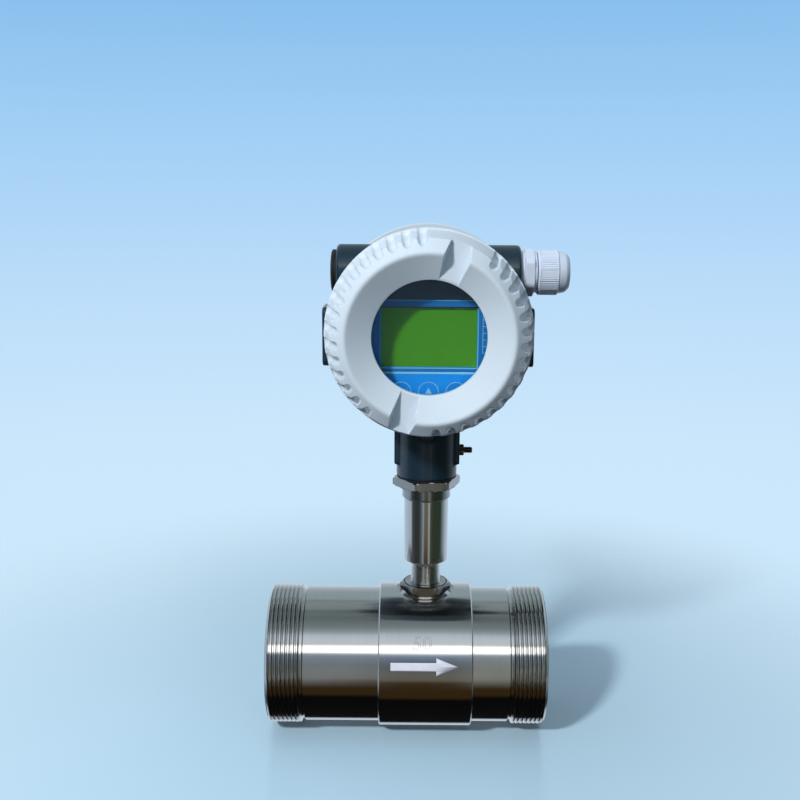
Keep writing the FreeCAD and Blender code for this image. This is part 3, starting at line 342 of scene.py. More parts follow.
def set_input(tree, socket, value):
    """Link a socket to another one, or give it a plain value."""
    if isinstance(value, bpy.types.NodeSocket):
        tree.links.new(value, socket)
    elif socket.type == "RGBA":
        socket.default_value = (*value[:3], 1.0)
    else:
        socket.default_value = value


def add(tree, kind, links=None, **settings):
    """A node with its settings; links maps its input names or numbers to sockets or values."""
    node = tree.nodes.new(kind)
    for name, value in settings.items():
        setattr(node, name, value)
    for name, value in (links or {}).items():
        set_input(tree, node.inputs[name], value)
    return node


def use_group(tree, group, values):
    return add(tree, "ShaderNodeGroup", values, node_tree=group)


def math_node(tree, operation, *values, clamp=False):
    node = add(tree, "ShaderNodeMath", dict(enumerate(values)), operation=operation, use_clamp=clamp)
    return node.outputs[0]


def mix_colour(tree, share, first, second):
    """Two colours mixed; a Mix node keeps its colour inputs at 6 and 7 and its result at 2."""
    node = add(tree, "ShaderNodeMix", {}, data_type="RGBA", blend_type="MIX")
    for index, value in ((0, share), (6, first), (7, second)):
        set_input(tree, node.inputs[index], value)
    return node.outputs[2]


def remap(tree, value, low, high, to_low=0.0, to_high=1.0, curve="LINEAR"):
    """A value carried from low and high over to to_low and to_high."""
    return add(tree, "ShaderNodeMapRange", {
        "Value": value, "From Min": low, "From Max": high, "To Min": to_low, "To Max": to_high},
        interpolation_type=curve).outputs["Result"]


def object_place(tree):
    return add(tree, "ShaderNodeTexCoord").outputs["Object"]


def noise(tree, place, scale, detail, roughness, distortion=0.0):
    return add(tree, "ShaderNodeTexNoise", {
        "Vector": place, "Scale": scale, "Detail": detail, "Roughness": roughness,
        "Distortion": distortion}).outputs["Fac"]


def grain_group():
    """Fine skin of cast paint or moulded plastic."""
    if "Surface grain" in bpy.data.node_groups:
        return bpy.data.node_groups["Surface grain"]
    group, given, result = new_group(
        "Surface grain",
        [("Fine Scale", FLOAT, 900.0), ("Coarse Scale", FLOAT, 120.0), ("Coarse Share", FLOAT, 0.5)],
        [("Height", FLOAT)])
    place = object_place(group)
    fine = noise(group, place, given.outputs["Fine Scale"], 3.0, 0.55)
    coarse = noise(group, place, given.outputs["Coarse Scale"], 2.0, 0.5)
    height = math_node(group, "MULTIPLY_ADD", coarse, given.outputs["Coarse Share"], fine)
    group.links.new(height, result.inputs["Height"])
    return group


def handling_group():
    """Slow change of colour and gloss from handling, dust and uneven coating."""
    if "Handling" in bpy.data.node_groups:
        return bpy.data.node_groups["Handling"]
    group, given, result = new_group(
        "Handling",
        [("Color", COLOUR, (0.5, 0.5, 0.5, 1.0)), ("Shade", COLOUR, (0.4, 0.4, 0.4, 1.0)),
         ("Amount", FLOAT, 0.3), ("Scale", FLOAT, 30.0), ("Roughness", FLOAT, 0.4),
         ("Roughness Spread", FLOAT, 0.1)],
        [("Color", COLOUR), ("Roughness", FLOAT)])
    cloud = noise(group, object_place(group), given.outputs["Scale"], 4.0, 0.6, 0.4)
    share = math_node(group, "MULTIPLY", remap(group, cloud, 0.35, 0.7), given.outputs["Amount"])
    tinted = mix_colour(group, share, given.outputs["Color"], given.outputs["Shade"])
    uneven = math_node(group, "SUBTRACT", cloud, 0.5)
    rough = math_node(group, "MULTIPLY_ADD", uneven, given.outputs["Roughness Spread"],
                      given.outputs["Roughness"], clamp=True)
    group.links.new(tinted, result.inputs["Color"])
    group.links.new(rough, result.inputs["Roughness"])
    return group


def edge_wear_and_corner_shade_group():
    """Rubbed paint along outer edges, and inner corners darkened by dirt and painted shade."""
    if "Edge wear" in bpy.data.node_groups:
        return bpy.data.node_groups["Edge wear"]
    group, given, result = new_group(
        "Edge wear",
        [("Color", COLOUR, (0.5, 0.5, 0.5, 1.0)), ("Worn", COLOUR, (0.7, 0.7, 0.7, 1.0)),
         ("Dirt", COLOUR, (0.1, 0.1, 0.1, 1.0)), ("Wear", FLOAT, 0.5), ("Dirt Amount", FLOAT, 0.5),
         ("Scale", FLOAT, 250.0)],
        [("Color", COLOUR)])
    bend = add(group, "ShaderNodeNewGeometry").outputs["Pointiness"]
    patch = noise(group, object_place(group), given.outputs["Scale"], 3.0, 0.65)
    outer = remap(group, bend, 0.53, 0.62)
    # mask of the inner corners, which get a darker colour below: dirt and painted shade
    inner = remap(group, bend, 0.47, 0.40)
    patchy = remap(group, patch, 0.45, 0.62)
    worn = math_node(group, "MULTIPLY", math_node(group, "MULTIPLY", outer, patchy),
                     given.outputs["Wear"])
    dirt_and_shade_share = math_node(group, "MULTIPLY", inner, given.outputs["Dirt Amount"])
    stained_and_shaded = mix_colour(group, dirt_and_shade_share, given.outputs["Color"], given.outputs["Dirt"])
    shown = mix_colour(group, worn, stained_and_shaded, given.outputs["Worn"])
    group.links.new(shown, result.inputs["Color"])
    return group


def turning_group():
    """Fine tool rings across an axis; Squeeze holds the frequency along each axis."""
    if "Turning marks" in bpy.data.node_groups:
        return bpy.data.node_groups["Turning marks"]
    group, given, result = new_group(
        "Turning marks",
        [("Squeeze", VECTOR, (6000.0, 20.0, 20.0)), ("Color", COLOUR, (0.6, 0.6, 0.6, 1.0)),
         ("Shade", COLOUR, (0.45, 0.45, 0.45, 1.0)), ("Amount", FLOAT, 0.3)],
        [("Color", COLOUR), ("Height", FLOAT)])
    squeezed = add(group, "ShaderNodeVectorMath", {0: object_place(group), 1: given.outputs["Squeeze"]},
                   operation="MULTIPLY").outputs["Vector"]
    rings = noise(group, squeezed, 1.0, 3.0, 0.6)
    share = math_node(group, "MULTIPLY", remap(group, rings, 0.4, 0.7), given.outputs["Amount"])
    shown = mix_colour(group, share, given.outputs["Color"], given.outputs["Shade"])
    group.links.new(shown, result.inputs["Color"])
    group.links.new(rings, result.inputs["Height"])
    return group


def blank_material(name):
    """A material with only its output and shader."""
    material = bpy.data.materials.new(name)
    material.use_nodes = True
    tree = material.node_tree
    tree.nodes.clear()
    output = tree.nodes.new("ShaderNodeOutputMaterial")
    shader = tree.nodes.new("ShaderNodeBsdfPrincipled")
    tree.links.new(shader.outputs["BSDF"], output.inputs["Surface"])
    return material, tree, shader, output


def shaded(colour, share):
    return tuple(channel * share for channel in colour)


def relief(tree, height, millimetres):
    """A bump of a height in millimetres."""
    return add(tree, "ShaderNodeBump", {"Height": height, "Strength": 0.6, "Distance": millimetres * MM})


def coated(name, colour, rough, metallic=0.0, coat=0.0, fine=900.0, coarse=120.0, coarse_share=0.5,
           depth=0.02, amount=0.25, shade=None, patch_scale=30.0, rough_spread=0.12, wear=0.0,
           worn=None, dirt=0.3, squeeze=None, ring_depth=0.004, ring_amount=0.2, anisotropic=0.0,
           axis="Z", ior=1.5, sub=0.0):
    """An opaque finish: colour with handling, wear, dirt and painted shade in inner corners, skin grain
    and, on turned metal, tool rings.
    """
    if name in bpy.data.materials:
        return bpy.data.materials[name]
    material, tree, shader, _ = blank_material(name)
    start = tuple(colour)
    rings = None
    if squeeze is not None:
        rings = use_group(tree, turning_group(), {
            "Squeeze": squeeze, "Color": start, "Shade": shaded(colour, 0.7), "Amount": ring_amount})
        start = rings.outputs["Color"]
    handled = use_group(tree, handling_group(), {
        "Color": start, "Shade": shade or shaded(colour, 0.78), "Amount": amount,
        "Scale": patch_scale, "Roughness": rough, "Roughness Spread": rough_spread})
    shown = handled.outputs["Color"]
    # rubbed outer edges, and inner corners darkened to a darker copy of the colour: dirt and painted shade
    if wear > 0 or dirt > 0:
        edges = use_group(tree, edge_wear_and_corner_shade_group(), {
            "Color": shown, "Worn": worn or tuple(min(1.0, c * 1.4 + 0.05) for c in colour),
            "Dirt": shaded(colour, 0.45), "Wear": wear, "Dirt Amount": dirt})
        shown = edges.outputs["Color"]
    tree.links.new(shown, shader.inputs["Base Color"])
    tree.links.new(handled.outputs["Roughness"], shader.inputs["Roughness"])
    grain = use_group(tree, grain_group(), {
        "Fine Scale": fine, "Coarse Scale": coarse, "Coarse Share": coarse_share})
    bump = relief(tree, grain.outputs["Height"], depth)
    if rings is not None:
        first = relief(tree, rings.outputs["Height"], ring_depth)
        tree.links.new(first.outputs["Normal"], bump.inputs["Normal"])
    tree.links.new(bump.outputs["Normal"], shader.inputs["Normal"])
    shader.inputs["Metallic"].default_value = metallic
    shader.inputs["Coat Weight"].default_value = coat
    shader.inputs["Coat Roughness"].default_value = 0.12
    shader.inputs["IOR"].default_value = ior
    if sub:
        shader.inputs["Subsurface Weight"].default_value = sub
        shader.inputs["Subsurface Radius"].default_value = (0.003, 0.003, 0.004)
        shader.inputs["Subsurface Scale"].default_value = 1.0
    if anisotropic:
        shader.inputs["Anisotropic"].default_value = anisotropic
        shader.inputs["Anisotropic Rotation"].default_value = 0.25
        tangent = add(tree, "ShaderNodeTangent", direction_type="RADIAL", axis=axis)
        tree.links.new(tangent.outputs["Tangent"], shader.inputs["Tangent"])
    return material


def own_colour(colour):
    """A plain colour, or a named one from the panel times a share."""
    if colour and isinstance(colour[0], str):
        return shaded(getattr(colours(), colour[0]), colour[1])
    return colour


def recipe(title, colour, rough, metallic=0.0, shade=None, worn=None, **more):
    """A function that makes a finish when a piece first needs it."""
    def make():
        return coated(title, own_colour(colour), rough, metallic, shade=own_colour(shade),
                      worn=own_colour(worn), **more)
    return make


def printed(title, colour, rough, **more):
    """A recipe for ink on the display's faceplate."""
    return recipe(title, colour, rough, fine=1600.0, dirt=0.0, **more)


def window_glass():
    """Clear glass that lets the lamps through to the display."""
    name = "window glass"
    if name in bpy.data.materials:
        return bpy.data.materials[name]
    material, tree, shader, output = blank_material(name)
    shader.inputs["Base Color"].default_value = (0.93, 0.97, 0.96, 1.0)
    shader.inputs["Transmission Weight"].default_value = 1.0
    shader.inputs["IOR"].default_value = 1.22
    smear = use_group(tree, handling_group(), {
        "Color": (1, 1, 1), "Shade": (1, 1, 1), "Amount": 0.0, "Scale": 35.0, "Roughness": 0.02,
        "Roughness Spread": 0.03})
    tree.links.new(smear.outputs["Roughness"], shader.inputs["Roughness"])
    clear = add(tree, "ShaderNodeBsdfTransparent", {"Color": (0.93, 0.96, 0.95)})
    rays = add(tree, "ShaderNodeLightPath")
    indirect = math_node(tree, "MAXIMUM", rays.outputs["Is Shadow Ray"], rays.outputs["Is Diffuse Ray"])
    both = add(tree, "ShaderNodeMixShader", {
        0: indirect, 1: shader.outputs["BSDF"], 2: clear.outputs["BSDF"]})
    tree.links.new(both.outputs["Shader"], output.inputs["Surface"])
    return material


# each finish's corner amount darkens its inner corners with dirt and painted shade
FINISHES = {
    "stainless_steel": recipe(
        "machined fastener steel", ("steel", 0.64), 0.2, 1.0, fine=1800.0, depth=0.003, amount=0.3,
        patch_scale=60.0, dirt=0.4, wear=0.3, squeeze=(30.0, 30.0, 2600.0), ring_depth=0.002,
        ring_amount=0.25),
    "tube_steel": recipe(
        "polished tube steel", ("steel", 1.0), 0.14, 1.0, fine=2500.0, coarse=60.0, coarse_share=1.5,
        depth=0.0012, amount=0.22, shade=("steel", 0.72), patch_scale=22.0, dirt=0.35,
        squeeze=(5200.0, 12.0, 12.0), ring_depth=0.0012, ring_amount=0.22, anisotropic=0.75, axis="X"),
    "stem_steel": recipe(
        "turned stem steel", ("steel", 1.05), 0.15, 1.0, fine=2500.0, coarse=80.0, coarse_share=1.0,
        depth=0.001, amount=0.2, patch_scale=40.0, rough_spread=0.1, dirt=0.4,
        squeeze=(12.0, 12.0, 5200.0), ring_depth=0.0012, anisotropic=0.7),
    "rotor_steel": recipe(
        "rotor steel", (0.50, 0.50, 0.49), 0.28, 1.0, depth=0.006, wear=0.4,
        squeeze=(2600.0, 25.0, 25.0)),
    "bearing_metal": recipe("hard bearing metal", (0.28, 0.28, 0.29), 0.2, 1.0, depth=0.002),
    "soft_iron": recipe("soft iron", (0.36, 0.35, 0.33), 0.36, 1.0, depth=0.006, amount=0.5),
    "copper_winding": recipe(
        "copper winding", (0.62, 0.24, 0.09), 0.34, 1.0, depth=0.01, squeeze=(25.0, 25.0, 9000.0),
        ring_depth=0.03, ring_amount=0.7),
    "magnet": recipe("plated magnet", (0.42, 0.42, 0.43), 0.22, 1.0, depth=0.004, wear=0.4),
    "circuit_board": recipe(
        "green circuit board", (0.008, 0.11, 0.035), 0.32, coat=0.4, depth=0.01, coarse=400.0,
        amount=0.5, shade=(0.02, 0.16, 0.06), patch_scale=180.0),
    "board_plastic": recipe("board spacer nylon", (0.55, 0.53, 0.46), 0.4, depth=0.01),
    "housing_paint": recipe(
        "dark housing paint", ("housing", 1.0), 0.3, coat=0.12, fine=650.0, coarse=100.0,
        coarse_share=1.0, depth=0.03, amount=0.5, shade=(0.008, 0.022, 0.037), patch_scale=24.0,
        rough_spread=0.16, wear=0.25, worn=(0.07, 0.09, 0.10), dirt=0.25),
    "cover_paint": recipe(
        "pale cover paint", ("cover", 1.0), 0.40, coat=0.10, fine=700.0, coarse=90.0,
        coarse_share=1.2, depth=0.035, amount=0.3, shade=("cover", 0.86), patch_scale=16.0,
        rough_spread=0.16, wear=0.35, worn=("cover", 1.15), dirt=0.35),
    "window_glass": window_glass,
    "aluminium": recipe(
        "machined aluminium", (0.62, 0.63, 0.64), 0.3, 1.0, fine=1500.0, depth=0.004,
        squeeze=(25.0, 2600.0, 25.0), patch_scale=40.0),
    "black_rubber": recipe(
        "black rubber", (0.012, 0.012, 0.013), 0.6, fine=800.0, amount=0.4,
        shade=(0.03, 0.03, 0.032), patch_scale=70.0),
    "faceplate": printed(
        "printed display blue", ("face", 1.0), 0.36, ior=1.35, depth=0.004, shade=("face", 0.8)),
    "display_navy": printed(
        "printed display navy", (0.011, 0.030, 0.050), 0.34, ior=1.35, depth=0.004, amount=0.5,
        shade=(0.02, 0.03, 0.06), patch_scale=40.0),
    "display_stripe": printed(
        "printed stripe blue", (0.006, 0.17, 0.52), 0.34, ior=1.35, depth=0.004, amount=0.3,
        patch_scale=40.0),
    "display_line": printed(
        "printed pale line", (0.30, 0.68, 0.97), 0.36, ior=1.35, depth=0.003, amount=0.2,
        patch_scale=80.0),
    "display_gap": printed(
        "printed black line", (0.01, 0.012, 0.014), 0.4, depth=0.003, amount=0.2, patch_scale=80.0),
    "lcd_glass": recipe(
        "unlit glass cell", ("glass_cell", 1.0), 0.30, ior=1.35, fine=3300.0, coarse=40.0,
        coarse_share=0.3, depth=0.0015, amount=0.35, shade=("glass_cell", 0.82), patch_scale=26.0,
        rough_spread=0.05, dirt=0.0),
    "key_plastic": recipe(
        "printed key blue", (0.006, 0.27, 0.86), 0.36, ior=1.35, depth=0.006, fine=1500.0, dirt=0.1),
    "brass": recipe(
        "dark brass", (0.065, 0.055, 0.040), 0.36, 0.85, depth=0.006, wear=0.5,
        worn=(0.30, 0.22, 0.10), amount=0.5, patch_scale=200.0, squeeze=(4200.0, 40.0, 40.0),
        ring_depth=0.03, ring_amount=0.5),
    "zinc_screw": recipe(
        "zinc plated screw", (0.52, 0.53, 0.55), 0.28, 1.0, depth=0.004, wear=0.3, amount=0.4,
        patch_scale=150.0),
    "terminal_plastic": recipe("terminal plastic", (0.03, 0.22, 0.10), 0.4, depth=0.012),
    "black_plastic": recipe(
        "black plastic", (0.018, 0.022, 0.027), 0.42, ior=1.25, fine=1000.0, depth=0.012, amount=0.3,
        patch_scale=50.0, wear=0.15, worn=(0.05, 0.055, 0.06)),
    "white_nylon": recipe(
        "pale nylon", ("nylon", 1.0), 0.36, fine=1200.0, coarse=150.0, depth=0.008, amount=0.2,
        shade=("nylon", 0.88), patch_scale=60.0, dirt=0.35, sub=0.12),
    "etched_marks": recipe(
        "frosted etching", ("marks", 1.0), 0.6, fine=3200.0, coarse=700.0, depth=0.01, amount=0.35,
        shade=("marks", 0.84), patch_scale=260.0, dirt=0.0),
    "etched_strokes": recipe(
        "frosted strokes", ("marks", 0.46), 0.6, fine=3200.0, coarse=700.0, depth=0.01, amount=0.3,
        patch_scale=260.0, dirt=0.0),
}

SLOT_OF = {name: "stainless_steel" for name in (
    "tube_steel", "stem_steel", "etched_marks", "etched_strokes")}
SLOT_OF.update({name: "faceplate" for name in (
    "display_navy", "display_stripe", "display_line", "display_gap")})


# ------------------------------------------------------------------ flow tube


def meter_body():
    """The bar-stock tube with both end threads, its band and the flat on top."""
    pitch = sizes().tube_pitch / MM
    depth = sizes().tube_thread_depth / MM
    section = outline([
        (0, 26.0), (0, 36.0, 0.15), (1.6, TUBE_MAJOR), (17.3, TUBE_MAJOR, 0.12), (18.0, 35.4, 0.2),
        (19.5, 35.4, 0.2), (20.2, 36.5, 0.12), (60.0, 36.5, 0.05), (60.0, 38.2, 0.05),
        (60.6, BAND, 0.08),
        (109.4, BAND, 0.08), (110.0, 38.2, 0.05), (110.0, 36.5, 0.05), (129.8, 36.5, 0.12),
        (130.5, 35.4, 0.2), (132.0, 35.4, 0.2), (132.7, TUBE_MAJOR, 0.12), (148.4, TUBE_MAJOR),
        (150.0, 36.0, 0.15), (150.0, 26.0), (149.0, 25.0), (128.6, 25.0), (128.6, 26.4), (127.0, 26.4),
        (127.0, 25.0), (103.0, 25.0), (103.0, 24.2), (67.0, 24.2), (67.0, 25.0), (43.0, 25.0),
        (43.0, 26.4), (41.4, 26.4), (41.4, 25.0), (1.0, 25.0)])
    section = divide(section, 0.0, 17.3, pitch / 13)
    section = divide(section, 132.7, 150.0, pitch / 13)

    threads = threaded(TUBE_MAJOR, pitch, depth, lambda along, radius: (
        (radius > 34.0) & ((along < 17.31) | (along > 132.69))))
    body = piece("meter_body_turned", turned(section, even_turns(272), "X", (0, 0, 0), threads),
                 "tube_steel", "meter_run", ("meter_body",), sharp=34)
    flat = turned([(35.5, 0), (35.5, 15.5), (60, 15.5), (60, 0)], even_turns(128), "Z", STEM,
                  closed=False)
    hole = turned([(27.5, 0), (27.5, 8.05), (50, 8.05), (50, 0)], even_turns(64), "Z", STEM,
                  closed=False)
    cut_away(body, [flat, hole], 34)


def on_band(x, climb, lift):
    """A place on the band at x, climb millimetres round from the front, lift above it."""
    angle = climb / BAND
    radius = BAND + lift
    return (x, -radius * math.cos(angle), radius * math.sin(angle))


def etched_arrow():
    """Flow arrow etched on the band, as a thin plate that follows its curve."""
    length = sizes().arrow_length / MM
    lift = sizes().etch_height / MM
    left, tip = STEM_X - 0.515 * length, STEM_X + 0.485 * length
    head_length = 11.6
    neck = tip - head_length
    middle = math.radians(12.9) * BAND
    shaft, wide = 2.1, 4.6
    rows = np.unique(np.round(np.concatenate([
        np.linspace(-wide, -shaft, 7), np.linspace(-shaft, shaft, 9), np.linspace(shaft, wide, 7)]), 5))
    places, faces = [], []
    for row in rows:
        end = tip - (tip - neck) * abs(row) / wide
        places += [on_band(x, middle + row, lift) for x in (left, neck, end)]
    for index in range(len(rows) - 1):
        a, b = 3 * index, 3 * index + 3
        faces.append([a + 1, a + 2, b + 2, b + 1])
        if abs(rows[index] + rows[index + 1]) / 2 < shaft:
            faces.append([a, a + 1, b + 1, b])
    item = piece("flow_arrow", (np.array(places), faces), "etched_marks", "meter_run")
    thick = item.modifiers.new("etch", "SOLIDIFY")
    thick.thickness = (lift + 0.03) * MM
    thick.offset = -1.0
    apply_modifiers(item)
    # points of the rows beyond the shaft's sides belong to no face
    clean = bmesh.new()
    clean.from_mesh(item.data)
    bmesh.ops.delete(clean, geom=[v for v in clean.verts if not v.link_faces], context="VERTS")
    clean.to_mesh(item.data)
    clean.free()


def etched_number():
    """Plain bore number etched above the arrow, in hollow strokes bent round the band."""
    letters = bpy.data.curves.new("bore_number", "FONT")
    letters.body = "50"
    letters.align_x = "CENTER"
    letters.size = sizes().number_height / 0.7
    letters.fill_mode = "NONE"
    letters.bevel_depth = 0.16 * MM
    letters.bevel_resolution = 1
    letters.resolution_u = 6
    letters.space_character = 1.08
    holder = bpy.data.objects.new("bore_number_text", letters)
    bpy.context.scene.collection.objects.link(holder)
    bpy.context.view_layer.update()
    graph = bpy.context.evaluated_depsgraph_get()
    mesh = bpy.data.meshes.new_from_object(holder.evaluated_get(graph))
    bpy.data.objects.remove(holder)
    bpy.data.curves.remove(letters)
    places = np.array([vertex.co for vertex in mesh.vertices]) / MM
    start = math.radians(31.0) * BAND - 0.5 * sizes().number_height / MM
    moved = [on_band(83.2 + x, start + y, 0.35 * z) for x, y, z in places]
    faces = [list(face.vertices) for face in mesh.polygons]
    bpy.data.meshes.remove(mesh)
    piece("bore_number", (np.array(moved), faces), "etched_strokes", "meter_run", sharp=60)


# ------------------------------------------------------------------ pickup stem


def pickup_stem():
    """Turned sleeve and its threaded lower end."""
    pitch = sizes().stem_pitch / MM
    section = outline([
        (27.5, 0), (27.5, 7.25, 0.1), (28.25, 8.0), (42.0, 8.0), (53.0, 8.0, 0.3), (55.8, 12.0, 0.5),
        (90.3, 12.0, 0.1), (90.8, 11.5, 0.1), (90.8, 10.0), (96.4, 10.0), (96.4, 9.4), (58.6, 9.4),
        (55.8, 6.0), (29.3, 6.0), (29.3, 0)], closed=False)
    section = divide(section, 27.5, 53.0, pitch / 12, closed=False)

    def threads(along, radius, turn):
        outside = (radius > 7.0) & (along < 52.9) & (along > 27.6) & (radius < 8.1)
        fade = soft_step(52.6 - along, 0.0, 1.2)
        cut = 8.0 - thread_cut(along, turn, pitch, 0.9) * fade
        return along, np.where(outside, np.minimum(radius, cut), radius), turn

    stem = turned(section, even_turns(112), "Z", STEM, threads, closed=False)
    piece("pickup_stem_turned", stem, "stem_steel", "meter_run", ("pickup_stem",))


def hexagon_reach(turn, flats, facing):
    """How far a hexagon reaches at each angle."""
    third = math.pi / 3
    off = np.mod(turn - math.radians(facing) + third / 2, third) - third / 2
    return flats / 2 / np.cos(off)


def hexagon_shape(low, high, flats, facing, hole, chamfer):
    """A bored hexagon with round-chamfered corners, on the stem's axis."""
    corner = flats / math.sqrt(3)
    flat = flats / 2 - 0.1
    section = [(low, hole), (low, flat), (low, corner - chamfer * 1.9),
               (low + chamfer * 0.30, corner - chamfer * 0.75), (low + chamfer * 0.72, corner),
               (high - chamfer * 0.72, corner), (high - chamfer * 0.30, corner - chamfer * 0.75),
               (high, corner - chamfer * 1.9), (high, flat), (high, hole)]

    def form(along, radius, turn):
        return along, np.minimum(radius, hexagon_reach(turn, flats, facing)), turn

    turns = np.unique(np.round(even_turns(120) + math.radians(facing + 30), 9))
    return turned(section, turns, "Z", STEM, form)


def stem_fastening():
    """Washer, lock nut and the neck adapter's collar and hexagon."""
    washer = turned(outline([(35.5, 8.3), (35.5, 10.8, 0.2), (37.6, 10.8, 0.25), (37.6, 8.3)]),
                    even_turns(96), "Z", STEM)
    piece("lock_washer_turned", washer, "stainless_steel", "meter_run", ("lock_washer",))
    nut = hexagon_shape(37.6, 42.5, 24.0, 90.0, 8.05, 1.3)
    piece("lock_nut_hexagon", nut, "stainless_steel", "meter_run", ("lock_nut",), sharp=24)
    hexagon = hexagon_shape(97.2, 102.4, 32.0, 99.6, 10.1, 1.4)
    rim = outline([(90.8, 10.1), (90.8, 12.5, 0.1), (91.3, 13.0, 0.1), (97.3, 13.0), (97.3, 10.1)])
    collar = turned(rim, even_turns(112), "Z", STEM)
    tail = turned(outline([(102.3, 6.5), (102.3, 10.0), (114.4, 10.0, 0.3), (114.4, 6.5)]),
                  even_turns(96), "Z", STEM)
    piece("neck_adapter_turned", joined_shapes(hexagon, collar, tail), "stainless_steel", "meter_run",
          ("neck_adapter",), sharp=24)


# ------------------------------------------------------------------ screw covers


# reaches are measured along Y from the head's centre, radii from its axis
RIM_REAR, RIM_FRONT, SIDE_REAR, SIDE_FRONT = 32.3, 36.9, 51.2, 47.7
EDGE_REACH, CREST, CREST_RADIUS, FLOOR = 54.5, 59.74, 41.0, 52.4
FLUTE_ANGLES = [first + 9 * k for first in (22.5, 202.5) for k in range(16)]
FLUTE_RADIUS = 2.35
COVER_BORE = 46.0
SLOT_HALF, SLOT_EDGE, SLOT_REACH = 4.7, 7.2, 44.0


def cover_turns():
    """Angles from the slot: close together across the slot's walls and every flute."""
    slot = [0, 1.5, 3.0, 4.2, SLOT_HALF, 5.0, 5.3, 5.6, 5.9, 6.2, 6.5, 6.8, SLOT_EDGE]
    near = [math.asin(lateral / SLOT_REACH) for lateral in slot]
    angles = []
    for start in (0, math.pi):
        angles += [start + a for a in near] + [start - a for a in near[1:]]
        angles += [start + side * math.radians(a) for side in (1, -1) for a in (11, 13, 15, 17)]
    for centre in FLUTE_ANGLES:
        for offset in (0, 0.7, 1.3, 1.75, 2.1, 2.3, 2.5, 2.9):
            for side in (1, -1):
                angles.append(math.radians(centre) + side * offset / 49.0)
    angles = np.unique(np.round(np.mod(angles, 2 * math.pi), 6))
    keep = [angles[0]]
    for angle in angles[1:]:
        if angle - keep[-1] > 0.002:
            keep.append(angle)
    return np.array(keep)


def cover_form(along, radius, turn):
    """Wrench slots, flutes and inner thread of the turned cover."""
    soft = sizes().cast_softness / MM
    pitch = sizes().cover_pitch / MM
    # straight slot walls: near the slot, columns keep one distance from its middle
    edge = math.asin(SLOT_EDGE / SLOT_REACH)
    limit = math.radians(20.0)
    about = np.mod(turn + math.pi / 2, math.pi) - math.pi / 2
    base = turn - about
    reach = np.maximum(radius, 28.0)
    lateral = SLOT_REACH * np.sin(np.minimum(np.abs(about), edge))
    near = np.arcsin(np.clip(lateral / reach, -1, 1))
    share = np.clip((np.abs(about) - edge) / (limit - edge), 0, 1)
    warped = np.where(np.abs(about) <= limit, near + (limit - near) * share, np.abs(about))
    turn = base + np.sign(about) * warped
    offset = np.abs(radius * np.sin(warped))
    wall = FLOOR + np.maximum(0, offset - SLOT_HALF) * 4.3
    cut = soft_least(along, wall, soft)
    face = (along > 48.6) & (radius > 27.9)
    along = np.where(face & (cut < along), cut, along)
    # flutes along the tapering side, open into the bevel and scooped out of the rim's front corner
    taper = (SIDE_FRONT - SIDE_REAR) / (EDGE_REACH - RIM_FRONT)
    side_radius = SIDE_REAR + taper * (along - RIM_FRONT)
    off = np.mod(turn[..., None] - np.radians(FLUTE_ANGLES) + math.pi, 2 * math.pi) - math.pi
    nearest = np.min(np.abs(off), -1)
    across = side_radius * np.sin(np.minimum(nearest, 1.0))
    middle = side_radius + 0.5 - 1.35 * soft_step(along, 45.5, 53.5)
    arc = np.sqrt(np.maximum(FLUTE_RADIUS ** 2 - across ** 2, 0))
    groove = np.where(across < FLUTE_RADIUS, middle - arc, middle + (across - FLUTE_RADIUS) * 5)
    groove = groove + np.maximum(0, RIM_FRONT + 0.6 - along) * 0.95
    fluted = (along > 34.2) & (radius > 40.0) & outer_skin(along, radius)
    radius = np.where(fluted, np.minimum(radius, soft_least(radius, groove, 0.3)), radius)
    # inner thread that takes the housing's spigot
    bored = (np.abs(radius - COVER_BORE) < 0.02) & (along > 36.0) & (along < 46.9)
    radius = np.where(bored, radius + thread_cut(along, turn, pitch, 0.6), radius)
    return along, radius, turn


def outer_skin(along, radius):
    """True on the cover's outside, beyond its bore."""
    return (radius > 48.8) | (along > 48.0)


def screw_cover(name, windowed, body):
    """Cast cover for the node named like its body: dished front, fluted side, slots, threaded bore."""
    if windowed:
        inside = [(47.0, 36.3), (40.5, 36.3), (40.5, 32.5), (49.5, 32.5), (49.5, 28.0)]
    else:
        inside = [(47.0, 0), (52.0, 0)]
    section = outline([
        (52.0, 28.0, 0.25), (CREST, CREST_RADIUS, 2.4), (EDGE_REACH, SIDE_FRONT, 0.7),
        (RIM_FRONT, SIDE_REAR, 0.35), (RIM_FRONT, 52.0, 0.5), (RIM_REAR, 52.0, 0.5), (RIM_REAR, 48.5),
        (34.8, 48.5), (34.8, COVER_BORE), (47.0, COVER_BORE), *inside], arc_steps=5)
    for low, high, step in ((47.0, CREST, 0.7), (RIM_FRONT, EDGE_REACH, 1.2),
                            (34.8, 47.0, 2.0 / 7), (RIM_REAR, RIM_FRONT + 0.1, 0.6)):
        section = divide(section, low, high, step)
    places, faces = turned(section, cover_turns(), "Y", (0, 0, 0), cover_form)
    lean = math.radians(90 - 18.0)
    across, up = places[:, 0].copy(), places[:, 2].copy()
    places[:, 0] = across * math.cos(lean) - up * math.sin(lean)
    places[:, 2] = across * math.sin(lean) + up * math.cos(lean)
    places[:, 1] *= -1
    if not windowed:
        places[:, 0] *= -1
        places[:, 1] *= -1
    piece(name, (places + np.array(HEAD), faces), "cover_paint", body, (body,), sharp=40)


# ------------------------------------------------------------------ housing


